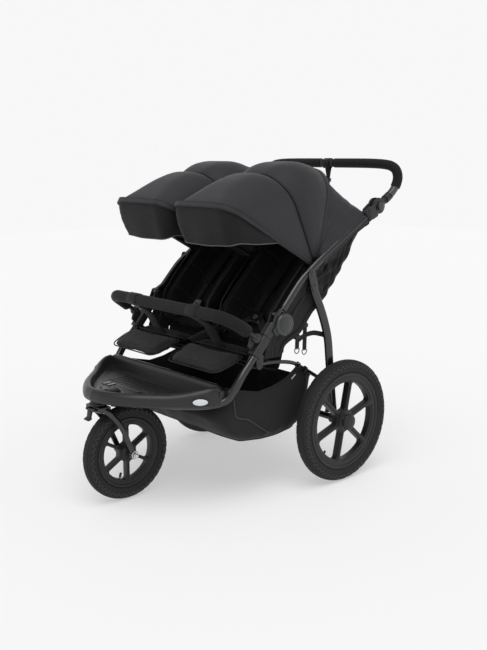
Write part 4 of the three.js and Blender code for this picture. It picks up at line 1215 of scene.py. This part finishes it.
def visor():
    """curtain from the front bow: its lower edge is level and runs back along both sides"""
    top = bow_line(*BOW1, -1.0, n=161)
    low = 797.0  # height of the hem
    keep = np.flatnonzero(top[:, 2] > low + 6)
    top = top[keep[0]:keep[-1] + 1]
    m, rows = len(top), []
    u = np.linspace(-1, 1, m)
    x = (top[:, 0] - SEAT_X) / 141
    front = step(-(top[:, 1] - CANOPY[0]) / 370, 0.62, 1.0)
    bottom = top.copy()
    bottom[:, 0] -= np.sign(x) * 20 * np.abs(x) ** 3 * front
    bottom[:, 1] += 30 * front
    bottom[:, 2] = low + 3 * x * x + 13 * np.abs(x) ** 9 * front + 2 * (1 - front) + 1.2 * np.sin(u * 9)
    bottom[:, 2] = np.minimum(bottom[:, 2], top[:, 2] - 3)
    n = 21
    for v in np.linspace(0, 1, n):
        row = top * (1 - v) + bottom * v
        row[:, 1] -= 7 * math.sin(math.pi * v) * front
        row[:, 0] += np.sign(x) * 3.5 * math.sin(math.pi * v) * np.abs(x) ** 2
        rows.append(row)
    P = np.array(rows)
    ripple = 1.8 * np.sin(u * 15 + 1)[None] * np.linspace(0, 1, n)[:, None]
    N = normals(P)
    P = P + N * (ripple + wrinkles(P, 0.9, seed=4))[..., None]
    # the visor gets the darker cloth, painted shade
    o = cloth_grid("visor", P, VISOR_PAINTED_SHADE, 1.2, outward=(0, -1, 0))
    pair(o, "canopy_front_*", "visor_*", slot="lining", soft=declare_panel())
    # the hem piping is a lighter grey as a painted highlight
    piping("visor_hem", P[-1], "canopy_front_*", 1.7, HEM_HIGHLIGHT)


visor()

# ---------- seats ----------
UP_BACK, FROM_BACK = np.array((0, 0.694, 0.72)), np.array((0, -0.72, 0.694))
HINGE = np.array((0, *BIGHT))


def back_point(x, s, lift):
    """a point on the seat back: s up it from the bight, lift in front of its plane"""
    return np.array((x, 0, 0)) + HINGE + UP_BACK * s + FROM_BACK * lift


def wing_of(u):
    return np.interp(np.abs(u), [0, 0.36, 0.52, 0.68, 0.8, 0.9, 1.0], [0, 0.05, 0.16, 0.44, 0.78, 0.96, 1.0])


WING = [34, 82, 88, 88, 84, 66, 30]


def wing_height(s):
    return np.interp(s, 8 + 76 * np.arange(7), WING)


def seat_back():
    """hammock back with wings: padded, quilted, hollow where the child sits"""
    us = np.linspace(-1, 1, 37)
    ss = np.linspace(10, 462, 40)
    front, back = [], []
    for s in ss:
        w = wing_of(us) * wing_height(s)
        x = SEAT_X + us * (SEAT_HALF - 3.5)
        thick = 9 + 4 * (1 - np.abs(us))
        front.append([back_point(a, s, 11 + b) for a, b in zip(x, w)])
        back.append([back_point(a, s, 11 + b * 0.97 - c - 1.5 * b / 88) for a, b, c in zip(x, w, thick)])
    P = np.concatenate([np.array(front), np.array(back)[:, ::-1]], 1)
    o = loft("seat_back", P, LINING, sharp=180)
    inflate(o, BACK_VOXEL, cap=6.0)
    lines = []
    for s in (112, 214, 316):
        lines.append([back_point(SEAT_X + u * (SEAT_HALF - 4), s + 10 * u * u,
                                 17 + wing_of(u) * wing_height(s)) for u in np.linspace(-0.86, 0.86, 31)])
    for u in (-0.56, 0.56):
        lines.append([back_point(SEAT_X + u * (SEAT_HALF - 4), s, 17 + wing_of(u) * wing_height(s))
                      for s in np.linspace(20, 450, 31)])
    groove(o, lines, depth=4.0, width=7.0)
    pair(o, "seat_back_*", "seat_back_*", slot="lining", soft=lambda q: q)
    for k, line in enumerate(lines[:3]):
        pair(sweep(f"back_seam_{k}", np.array(line) + FROM_BACK * -1.2, circle(0.7, 8), THREAD),
             "seat_back_*")
    rim = [back_point(SEAT_X + SEAT_HALF - 2, s, 12 + wing_height(s)) for s in np.linspace(14, 458, 60)]
    for k, flip in (("outer", 1), ("inner", -1)):
        line = np.array(rim)
        line[:, 0] = SEAT_X + flip * (line[:, 0] - SEAT_X)
        piping("wing_piping_" + k, line + FROM_BACK * 2.5, "seat_back_*", 2.3, ref=ACROSS, ends=1.5)


seat_back()


def outlined_pad(name, outline, origin, along, normal, thick, mat, cap):
    """closed form over an outline (x, distance along), crowned over its middle, blown up as cloth"""
    outline = np.asarray(outline, float)
    c = outline.mean(0)
    rings = []
    levels = [(0.0, -0.5), (0.45, -0.5), (0.8, -0.47), (0.95, -0.34), (1.0, 0), (0.95, 0.34), (0.8, 0.5),
              (0.45, 0.62), (0.0, 0.68)]
    origin, along, normal = (np.asarray(v, float) for v in (origin, along, normal))
    for k, h in levels:
        q = c + (outline - c) * max(k, 0.02)
        across = np.c_[q[:, 0], np.zeros((len(q), 2))]
        rings.append(origin + across + q[:, 1:] * along + normal * thick * h)
    o = loft(name, rings, mat, sharp=180)
    inflate(o, PAD_VOXEL, cap)
    return o


def cushion():
    """quilted seat cushion with piping round its edge"""
    a = unit((0, 84, -31))
    nrm = np.array((0, 0.346, 0.938))
    outline = rounded([(SEAT_X - 121, -64), (SEAT_X - 121, 54), (SEAT_X + 121, 54), (SEAT_X + 121, -64)],
                      [26, 10, 10, 26], 7)
    outline = resample(np.vstack([outline, outline[:1]]), 121)[:-1]
    centre = np.array((0, -316, 452))
    o = outlined_pad("seat_cushion", outline, centre, a, nrm, 21, LINING, cap=7)

    def on(x, t, h=15.5):
        return centre + (SEAT_X + x, 0, 0) + a * t + nrm * h

    lines = [[on(x, t) for x in np.linspace(-108, 108, 9)] for t in (-34, 12)]
    lines += [[on(x, t) for t in np.linspace(-52, 44, 7)] for x in (-62, 62)]
    groove(o, lines, depth=4.0, width=7.0, face=nrm)
    pair(o, "lower_frame", "seat_cushion_*", slot="lining", soft=lambda q: q)
    wider = (outline - (SEAT_X, 0)) * 1.022 + (SEAT_X, 0)
    edge = np.array([on(0, 0, 0) + (q[0] - SEAT_X, 0, 0) + a * q[1] for q in wider])
    piping("cushion_piping", edge, "lower_frame", 2.2, ref=nrm, close=True)


cushion()

PAD_A, PAD_N = unit((0, -108, -40)), unit((0, -40, 108))
PAD_O = np.array((0, -386, 468))


def leg_rest():
    """pad that hangs in front of the seat, with one sewn channel, piping and a plain round badge"""
    out = rounded([(-127, 2), (-131, 40), (-119, 108), (119, 108), (131, 40), (127, 2)],
                  [10, 60, 34, 34, 60, 10], 9)
    out = out + (SEAT_X, 0)
    out = resample(np.vstack([out, out[:1]]), 141)[:-1]
    o = outlined_pad("leg_rest", out, PAD_O + PAD_N * -0.5, PAD_A, PAD_N, 16, PAD, cap=6)

    def on(x, t, h):
        return PAD_O + (SEAT_X + x, 0, 0) + PAD_A * t + PAD_N * h

    line = [on(x, 20 + 2 * math.cos(x / 40), 11) for x in np.linspace(-118, 118, 21)]
    groove(o, [line], depth=2.6, width=6.0, face=PAD_N)
    pair(o, "leg_rest_*", "leg_rest_*", slot="fabric", soft=lambda q: q)
    c = out.mean(0)
    wider = c + (out - c) * (1.018, 1.03)
    edge = np.array([PAD_O + (q[0], 0, 0) + PAD_A * q[1] for q in wider])
    piping("leg_rest_piping", edge, "leg_rest_*", 2.2, ref=PAD_N, close=True)
    turn = [on(10 * math.cos(a), 74 + 10 * math.sin(a), 0) for a in np.linspace(0, 2 * math.pi, 33)[:-1]]
    mid = on(0, 74, 15.0)
    rings = [[p + PAD_N * h for p in turn] for h in (9.5, 14.2)]
    rings += [[mid - PAD_N * sunk + (p + PAD_N * 15 - mid) * k for p in turn]
              for k, sunk in ((0.86, 0), (0.7, 0), (0.62, 0.6))]
    pair(loft("round_badge", rings, GREY), "leg_rest_*")


leg_rest()


def harness():
    """shoulder pads and webbing on the back, lap webbing and a buckle: five points, plain"""
    web_w = 25
    for k, x in (("a", -42), ("b", 42)):
        line = [back_point(SEAT_X + x * (1 - 0.25 * (1 - t)), 96 + 268 * t, 22 + 3 * math.sin(t * 5))
                for t in np.linspace(0, 1, 40)]
        o = strap("shoulder_web_" + k, line, web_w, n=40)
        pair(o, "seat_back_*", soft=lambda q: web_sheet(q))
        pad = sweep("shoulder_pad_" + k, np.array(line)[14:38] + FROM_BACK * 3.6, block(24, 4, 3.8, 5),
                    LINING, ends=7)
        pair(pad, "seat_back_*", soft=lambda q: q)
    for k, x in (("a", -1), ("b", 1)):
        line = spline([back_point(SEAT_X + x * 88, 34, 34), back_point(SEAT_X + x * 62, 48, 34),
                       back_point(SEAT_X + x * 20, 78, 36)], 24)
        o = strap("lap_web_" + k, line, web_w, ref=UP_BACK)
        pair(o, "seat_back_*", soft=lambda q: web_sheet(q))
    c = back_point(SEAT_X, 84, 34)
    shell = rounded([(-27, -22), (27, -22), (23, 24), (-23, 24)], 9, 6)
    rings = []
    for k, h in ((0.86, -6), (1, -3), (1, 4), (0.9, 7.4), (0.6, 8.6), (0.02, 9)):
        rings.append([c + (q[0] * k, 0, 0) + UP_BACK * q[1] * k + FROM_BACK * h for q in shell])
    pair(loft("buckle", rings, GLOSS), "seat_back_*")
    key = circle(9.5, 28)
    rings = [[c + (q[0] * k, 0, 0) + UP_BACK * q[1] * k + FROM_BACK * h for q in key]
             for k, h in ((1, 7), (1, 10.4), (0.85, 11.6), (0.02, 11.8))]
    pair(loft("buckle_button", rings, GREY), "seat_back_*")


harness()


def side_panel():
    """cloth from the frame tube round the seat, sewn to the base below and to the back above"""
    tube = [(-318, 452), (-303, 497), (-274, 553), (-240, 598), (-180, 656), (-120, 702), (-40, 750),
            (40, 797), (132, 849)]
    back = [(-234, 446), (-226, 480), (-153, 518), (-106, 571), (-52, 612), (4, 676), (50, 730),
            (92, 792), (143, 847)]
    n, m = 97, 33
    A, B = (spline([(x, *q) for q in pts], n) for x, pts in ((304.5, tube), (291, back)))
    v = np.linspace(0, 1, m)
    P = A[:, None] * (1 - v)[None, :, None] + B[:, None] * v[None, :, None]
    t = np.linspace(0, 1, n)[:, None]
    P[:, :, 0] -= 5 * np.sin(math.pi * v)[None] * np.sin(math.pi * t)
    N = normals(P)
    if N.mean((0, 1))[0] < 0:
        N = -N
    slack = np.exp(-((t - 0.62) / 0.2) ** 2) * 5.5 + np.exp(-((t - 0.12) / 0.1) ** 2) * 1.5
    fold = np.sin(t * 60 + 7 * v[None] + 2.2 * np.sin(9 * v[None] + t * 8)) * np.sin(math.pi * v)[None] ** 0.6
    crease = wrinkles(P, 9.0, seed=27) * np.exp(-((t - 0.66) / 0.13) ** 2) * np.sin(math.pi * v)[None] ** 0.5
    slow = wrinkles(P, 1.5, seed=21) * np.sin(math.pi * v)[None]
    bulge = slack * fold * np.sin(math.pi * t) + crease + slow
    P = P + N * np.minimum(bulge, 303 - P[:, :, 0])[..., None]
    o = cloth_grid("side_panel", P, BASKET, CLOTH_T, outward=(1, 0, 0))
    a, b = tuple(V((300, -318, 455))), tuple(V((300, -262, 590)))
    blended_pair(o, a, b, None, declare_panel())
    edge = P[:, -1] + N[:, -1] * 1.4
    across = np.gradient(P, axis=1)
    for name, line, ref, w in (("side_binding", edge[2:-2], across[2:-2, -1], 17),
                               ("side_band", P[6:62, 15] + N[6:62, 15] * 1.6, across[6:62, 15], 14)):
        q = strap(name, line, w, 1.6, ref=ref)
        blended_pair(q, a, b, None, lambda s: web_sheet(s))


side_panel()


def seat_base():
    """sling under both cushions, cloth and pocket behind the backs, and the web between the seats"""
    section = spline([(-374, 449.5), (-361, 448.6), (-340, 438), (-300, 422), (-264, 408), (-246, 409),
                      (-238, 424), (-231, 446), (-224, 474)], 40)
    xs = np.linspace(-291, 291, 61)
    P = np.array([[(x, y, z - 2.5 * math.sin(math.pi * abs(x) / 291)) for x in xs] for y, z in section])
    o = cloth_grid("seat_base", P, LINING, CLOTH_T, outward=(0, 0, 1))
    place(o, "lower_frame")
    declare_panel()(o)
    inner, width = 2.5, 282.5
    xs, rows = np.linspace(inner, inner + width, 57), []
    for s in np.linspace(14, 470, 52):
        u = (xs - inner) / width
        belly = np.sin(math.pi * u) ** 0.6 * math.sin(math.pi * np.clip((s - 40) / 400, 0, 1))
        rows.append([back_point(x, s, -9.5 - 17 * b) for x, b in zip(xs, belly)])
    P = np.array(rows)
    N = normals(P)
    P = P + N * wrinkles(P, 1.6, seed=31)[..., None]
    o = cloth_grid("seat_rear_flap", P, BASKET, CLOTH_T, outward=-FROM_BACK)
    pair(o, "seat_back_*", soft=declare_panel())
    pocket, n = [], 40
    for s in np.linspace(90, 250, 26):
        u = np.linspace(0.1, 0.9, n)
        out = 10 + 16 * np.sin(math.pi * (u - 0.1) / 0.8) ** 0.7 * (s - 90) / 160
        belly = np.sin(math.pi * u) ** 0.6 * math.sin(math.pi * np.clip((s - 40) / 400, 0, 1))
        edge = np.minimum(np.minimum(u - 0.1, 0.9 - u) / 0.06, 1) * min((s - 90) / 14, 1)
        pocket.append([back_point(inner + width * a, s, -9.5 - 17 * b - 2.4 - c * d)
                       for a, b, c, d in zip(u, belly, out, edge)])
    o = cloth_grid("rear_pocket", np.array(pocket), BASKET, CLOTH_T, outward=-FROM_BACK)
    pair(o, "seat_back_*", soft=lambda q: q)
    piping("pocket_hem", np.array(pocket)[-1] - FROM_BACK * 0.7, "seat_back_*", 2.4, ref=ACROSS, ends=1.5)
    xs = np.linspace(-26, 26, 15)
    rows = []
    for s in np.linspace(26, 452, 60):
        lift = np.interp(s, [0, 120, 300, 460], [20, 40, 38, 10])
        rows.append([back_point(x, s, lift + 16 * (1 - (x / 26) ** 2) + 1.5 * math.sin(s / 23)) for x in xs])
    o = cloth_grid("centre_web", np.array(rows), LINING, CLOTH_T, outward=FROM_BACK)
    place(o, "upper_frame")
    declare_panel()(o)
    for k in (-1, 1):
        line = np.array(rows)[:, 0 if k < 0 else -1] + FROM_BACK * 1.0
        place(sweep(f"centre_web_piping_{'rl'[k > 0]}", line, circle(1.9, 10), PIPING, ends=1.2),
              "upper_frame")
    rows = []
    for y, z in spline([(-372, 462), (-340, 470), (-300, 480), (-268, 486), (-240, 492)], 22):
        rows.append([(x, y, z + 14 * (1 - (x / 29) ** 2)) for x in np.linspace(-29, 29, 15)])
    P = np.array(rows)
    o = cloth_grid("centre_skirt", P, LINING, CLOTH_T, outward=(0, 0, 1))
    place(o, "lower_frame")
    declare_panel()(o)


seat_base()


def recline_gusset():
    """pleated cloth between the fixed sides and each back"""
    lo, hi = 22, 468
    for name, x in (("outer", 284), ("inner", 9)):
        depth = np.linspace(-1.5, -9.0, 25)
        pleat = 3.0 * np.abs((np.linspace(0, 8, 25) % 2) - 1) - 1.5
        P = np.array([[back_point(x + p, s, d) for p, d in zip(pleat, depth)]
                      for s in np.linspace(lo, hi, 60)])
        o = cloth_grid("recline_gusset_" + name, P, BASKET, 0.5, outward=(1, 0, 0))
        a, b = (tuple(V(back_point(x, 240, d))) for d in (depth[0], depth[-1]))
        blended_pair(o, a, b, None,
                     lambda q: q)


recline_gusset()


def top_panel():
    """cloth that closes the back between the top of each seat back and the cross tube"""
    inner, width, tube_at, back_at = 2.5, 287.5, 553, 462
    xs, rows = np.linspace(inner, inner + width, 60), []
    for v in np.linspace(0, 1, 22):
        sag = 5 * math.sin(math.pi * v) * np.sin(math.pi * (xs - inner) / width)
        s = tube_at + (back_at - tube_at) * v
        rows.append([back_point(x, s, -0.5 - 7 * v - d) for x, d in zip(xs, sag)])
    P = np.array(rows)
    slow = wrinkles(P, 1.2, seed=12) * np.sin(math.pi * np.linspace(0, 1, 22))[:, None]
    P = P + normals(P) * slow[..., None]
    o = cloth_grid("top_panel", P, LINING, CLOTH_T, outward=-FROM_BACK)
    a, b = (tuple(V(back_point(SEAT_X, s, 0))) for s in (tube_at, back_at))
    blended_pair(o, a, b, None, declare_panel())


top_panel()


def crotch_strap():
    """wide strap that loops the bumper bar and runs down to the front of the seat"""
    c = np.array((SEAT_X, *BUMPER_BAR))
    a = np.radians(np.linspace(-60, 215, 40))
    ring = [c + (0, 20.6 * math.cos(k), 20.6 * math.sin(k)) for k in a]
    down = spline([c + (0, 12, -22), (SEAT_X, -420, 552), (SEAT_X, -382, 500), (SEAT_X, -362, 472)], 26)
    back = down[::-1] + (0, -1.6, -2.6)
    path = np.vstack([back[:-1], np.array(ring)[::-1], down[1:]])
    path = resample(path, 110)
    path[:, 1] += 1.2 * np.sin(np.linspace(0, 40, 110)) * (np.abs(path[:, 2] - 530) < 40)
    o = strap("crotch_strap", path, 48, 1.7, n=110)
    blended_pair(o, tuple(V((SEAT_X, -364, 474))), tuple(V((SEAT_X, -448, 578))),
                 None, lambda q: q)


crotch_strap()


# ---------- cargo basket ----------
WALL_END = 45  # last row of the basket's wall; the floor follows


def hem_height(y):
    return np.interp(y, [-434, -399, -325, -266, -206, -160, -150, -140, -81],
                     [370, 362, 344, 351, 367, 397, 402, 398, 351])


def basket():
    """sagging bag with its floor sewn in; the hem rises to a corner at the stay and falls again behind it"""
    levels = [(0, -434, -81, 284.5, 26, 0), (0.12, -446, -84, 285.5, 30, 0.14),
              (0.3, -463, -88, 286.5, 36, 0.33), (0.5, -478, -94, 287, 42, 0.53),
              (0.68, -484, -99, 286.5, 46, 0.7), (0.82, -468, -106, 285, 50, 0.84),
              (0.92, -446, -114, 280, 54, 0.94), (1.0, -424, -124, 271, 56, 1.0)]
    spec = spline(np.array(levels, float), WALL_END + 1)
    n = 220
    outer = []
    for v, yf, yr, w, r, drop in spec:
        ring = rounded([(w, yf), (w, yr), (-w, yr), (-w, yf)], r, 10)
        ring = np.vstack([[(w, (yf + yr) / 2)], ring[10:], ring[:10], [(w, (yf + yr) / 2)]])
        ring = resample(ring, n + 1)[:-1]
        low = np.interp(ring[:, 1], [-484, -455, -434, -388, -300, -236, -119, -96],
                        [252, 232, 218, 200, 189, 188, 203, 222])
        top = hem_height(ring[:, 1])
        top = np.where(np.abs(ring[:, 0]) < 250, np.where(ring[:, 1] < -300, 368, 346), top)
        z = top + (low - top) * drop
        outer.append(np.c_[ring, z])
    P = np.array(outer)
    c = P[-1].mean(0)
    floor = []
    for k in (0.93, 0.8, 0.6, 0.4, 0.2, 0.04):
        q = c + (P[-1] - c) * (k, k, 1)
        q[:, 2] = np.interp(q[:, 1], [-484, -434, -388, -300, -236, -119], [240, 216, 200, 189, 188, 202])
        q[:, 2] -= 6 * (1 - k) * (1 + 0.3 * np.sin(q[:, 0] / 40)) - 3
        floor.append(q)
    P = np.concatenate([P, np.array(floor)])
    N = np.cross(np.roll(P, -1, 1) - np.roll(P, 1, 1), np.gradient(P, axis=0))
    N /= np.maximum(np.linalg.norm(N, axis=2, keepdims=True), 1e-9)
    if N[10, 0, 0] < 0:
        N = -N
    v = np.clip(np.arange(len(P)) / WALL_END, 0, 1)[:, None]
    turn = np.linspace(0, 1, n, endpoint=False)[None]
    pull = 2.4 * np.sin(2 * math.pi * turn * 23 + 3 * np.sin(2 * math.pi * turn * 3) + 5 * v)
    pull = pull * np.sin(math.pi * v) ** 0.5
    soft = 2.2 * np.sin(2 * math.pi * (3 * turn + 0.6 * v)) * np.sin(math.pi * v)
    sag = 3.0 * np.sin(math.pi * v) * (np.abs(P[:, :, 1] + 270) < 400)
    P = P + N * ((pull * 0.6 + soft + sag) * np.where(v < 1, 1, 0))[..., None]
    P[:, :, 0] = np.clip(P[:, :, 0], -289, 289)  # clear of the rear legs
    o = loft("basket", np.concatenate([P[::-1], P - N * 1.5]), BASKET, sharp=CLOTH_SHARP)
    place(o, "lower_frame", "basket", slot="fabric")
    return P, N


BAG, BAG_N = basket()


def on_bag(y, z, lift):
    """the point of the basket's side wall at (y, z)"""
    q, nn = BAG.reshape(-1, 3), BAG_N.reshape(-1, 3)
    keep = q[:, 0] > 200
    q, nn = q[keep], nn[keep]
    d = np.hypot(q[:, 1] - y, q[:, 2] - z)
    k = np.argsort(d)[:4]
    w = 1 / (d[k] + 0.5)
    return (q[k] * w[:, None]).sum(0) / w.sum() * (1, 0, 0) + (0, y, z) + nn[k].mean(0) * lift


def basket_trim():
    """hem, corner and floor piping, side pocket edge, blank tag and the loops round the stays"""
    hem = BAG[0] + (0, 0, 1.0)
    place(sweep("basket_hem", hem, circle(2.6, 12), PIPING, ref=UP, close=True), "lower_frame")
    for name, pts in (("pocket_piping", [(-427, 360), (-424, 325), (-421, 290), (-412, 280), (-398, 277),
                                         (-371, 269), (-341, 248), (-307, 224), (-279, 206)]),
                      ("rear_corner_piping", [(-112, 372), (-116, 320), (-124, 270), (-134, 214)])):
        line = np.array([on_bag(y, z, 0.8) for y, z in spline([(0, *p) for p in pts], 60)[:, 1:]])
        line = spline(line[::6].tolist() + [line[-1]], 70)
        # this piping is a lighter grey as a painted highlight
        piping(name, line, "lower_frame", 2.5, RIDGE_HIGHLIGHT, ends=1)
    seam = (BAG[WALL_END] + BAG_N[WALL_END] * 0.8)[::2]
    place(sweep("basket_floor_piping", seam, circle(2.0, 10), PIPING, ref=UP, close=True), "lower_frame")
    line = np.array([on_bag(y, z, 1.9) for y, z in ((-183, 364), (-174, 370), (-165, 376))])
    place(strap("blank_tag", line, 4.0, 0.8, TAG, ref=(0, 0.65, -0.76), n=6), "lower_frame")
    for k, (y, z) in enumerate(((-168, 410), (-128, 388))):
        c = np.array((np.interp(y, [-185, -152, -124], [305, 296, 292.5]), y, z))
        a = np.linspace(0, 2 * math.pi, 33)[:-1]
        axis = unit(((-0.25, 0.8, -0.45), (0, 0.8, -0.6))[k])
        e = unit(np.cross(axis, (1, 0, 0)))
        f = np.cross(axis, e)
        loop = [c + f * 7.6 * math.cos(t) + e * 9.2 * math.sin(t) for t in a]
        pair(sweep(f"stay_loop_{'ab'[k]}", np.array(loop), flat(11, 1.5), WEBBING, ref=axis, close=True),
             "lower_frame")


basket_trim()


# ---------- webbing between the seat and the rear legs, handle strap ----------
def d_ring(name, c, body):
    """steel ring with a straight top, hanging from c"""
    r, a = 10.5, np.linspace(0, math.pi, 19)
    pts = [c + (0, r * math.cos(t), -r * math.sin(t) * 1.25) for t in a]
    pts = spline(pts + [c + (0, -r, 1.2), c + (0, 0, 2.0), c + (0, r, 1.2)], 60)
    pair(sweep(name, np.vstack([pts, pts[:1]])[:-1], circle(1.7, 10), STEEL, ref=ACROSS, close=True), body)


def side_webbing():
    """two hanging straps with slides and D-rings on each side, and the band to the rear leg"""
    for k, (y, z0, z1) in enumerate(((-158, 512, 457), (-124, 546, 449))):
        line = spline([(289, y - 4, z0 + 8), (287, y, z0 - 8), (286, y + 1, (z0 + z1) / 2), (286, y, z1)], 24)
        pair(strap(f"hanging_web_{'ab'[k]}", line, 18, 1.7, ref=(0, 1, 0)), "upper_frame",
             soft=lambda q: q)
        d_ring(f"d_ring_{'ab'[k]}", np.array((286, y, z1 - 1)), "upper_frame")
        across = [(281.5, y, z0 - 16), (290.5, y, z0 - 16)]
        pair(sweep(f"web_slide_{'ab'[k]}", across, block(11.5, 6, 2.2, 4), PLASTIC, ref=(0, 1, 0), ends=1.4),
             "upper_frame")
    line = spline([(300, -44, 489), (297, -64, 496), (293, -92, 502), (290, -128, 498), (289, -166, 482)], 36)
    o = strap("leg_band", line, 16, 2.0, ref=UP)
    blended_pair(o, tuple(V(line[-1])), tuple(V(line[0])), None,
                 lambda q: web_sheet(q))


side_webbing()


def handle_strap():
    """webbing looped round the handle's middle, its tail hanging through a buckle"""
    c = np.array((0, *HANDLE_TOP))
    a = np.radians(np.linspace(-40, 220, 30))
    ring = [c + (0, 16.6 * math.cos(t), 16.6 * math.sin(t)) for t in a]
    tail = spline([c + (0, 0.5, -18), (0, 284, 990), (1, 288, 950), (6, 296, 936), (16, 302, 928)], 36)
    path = resample(np.vstack([[c + (0, -11, -18)], np.array(ring)[::-1], tail]), 80)
    w = np.interp(np.linspace(0, 1, 80), [0, 0.5, 0.72, 1], [1, 1, 0.42, 0.4])
    o = strap("wrist_strap", path, 30, 1.7, scale=w)
    place(o, "handle")
    buckle = rounded([(-10, -7), (10, -7), (8, 7), (-8, 7)], 2.4, 4)
    place(sweep("strap_buckle", [(0, 279, 976), (0, 289.5, 974)], buckle, PLASTIC, ref=ACROSS,
                ends=1.5), "handle")


handle_strap()

# ---------- stage, light, camera ----------
def stage():
    """pale floor, soft studio light and the photograph's viewpoint"""
    floor = bpy.data.meshes.new("floor")
    floor.from_pydata([(-9, -9, -0.001), (9, -9, -0.001), (9, 9, -0.001), (-9, 9, -0.001)], [],
                      [(0, 1, 2, 3)])
    o = bpy.data.objects.new("floor", floor)
    bpy.context.scene.collection.objects.link(o)
    m = bpy.data.materials.new("floor")
    m.use_nodes = True
    p = m.node_tree.nodes["Principled BSDF"]
    p.inputs["Base Color"].default_value = (0.55, 0.55, 0.553, 1)
    p.inputs["Emission Color"].default_value = (1.0, 1.0, 1.005, 1)
    p.inputs["Emission Strength"].default_value = 0.4
    p.inputs["Roughness"].default_value = 0.9
    p.inputs["Specular IOR Level"].default_value = 0.0
    floor.materials.append(m)
    world = bpy.data.worlds.new("studio")
    bpy.context.scene.world = world
    world.use_nodes = True
    nodes, links = world.node_tree.nodes, world.node_tree.links
    bg = nodes["Background"]
    bg.inputs["Color"].default_value = (0.934, 0.934, 0.94, 1)
    split, ramp = nodes.new("ShaderNodeSeparateXYZ"), nodes.new("ShaderNodeMapRange")
    links.new(nodes.new("ShaderNodeTexCoord").outputs["Generated"], split.inputs[0])
    links.new(split.outputs["Z"], ramp.inputs["Value"])
    for name, v in (("From Min", 0.2), ("From Max", 0.75), ("To Min", 1.0), ("To Max", 0.42)):
        ramp.inputs[name].default_value = v
    links.new(ramp.outputs[0], bg.inputs["Strength"])
    sun = bpy.data.lights.new("sun", "SUN")
    sun.energy = 1.6
    sun.angle = math.radians(50)
    q = bpy.data.objects.new("sun", sun)
    bpy.context.scene.collection.objects.link(q)
    z = unit((0.55, -0.6, 1.9))
    x = unit(np.cross(UP, z))
    y = np.cross(z, x)
    q.matrix_world = Matrix([[*r, 0] for r in np.stack([x, y, z], 1)] + [[0, 0, 0, 1]])
    cam = bpy.data.cameras.new("camera")
    cam.lens = 47.56
    cam.sensor_width = 36
    c = bpy.data.objects.new("camera", cam)
    bpy.context.scene.collection.objects.link(c)
    back, right, up = (0.7315, -0.6541, 0.1925), (0.6665, 0.7455, 0.0), (-0.1435, 0.1283, 0.9813)
    eye = (2.1612, -1.8273, 1.0585)
    c.matrix_world = Matrix([[right[i], up[i], back[i], eye[i]] for i in range(3)] + [[0, 0, 0, 1]])
    bpy.context.scene.camera = c
    bpy.context.scene.view_settings.view_transform = "Standard"


stage()
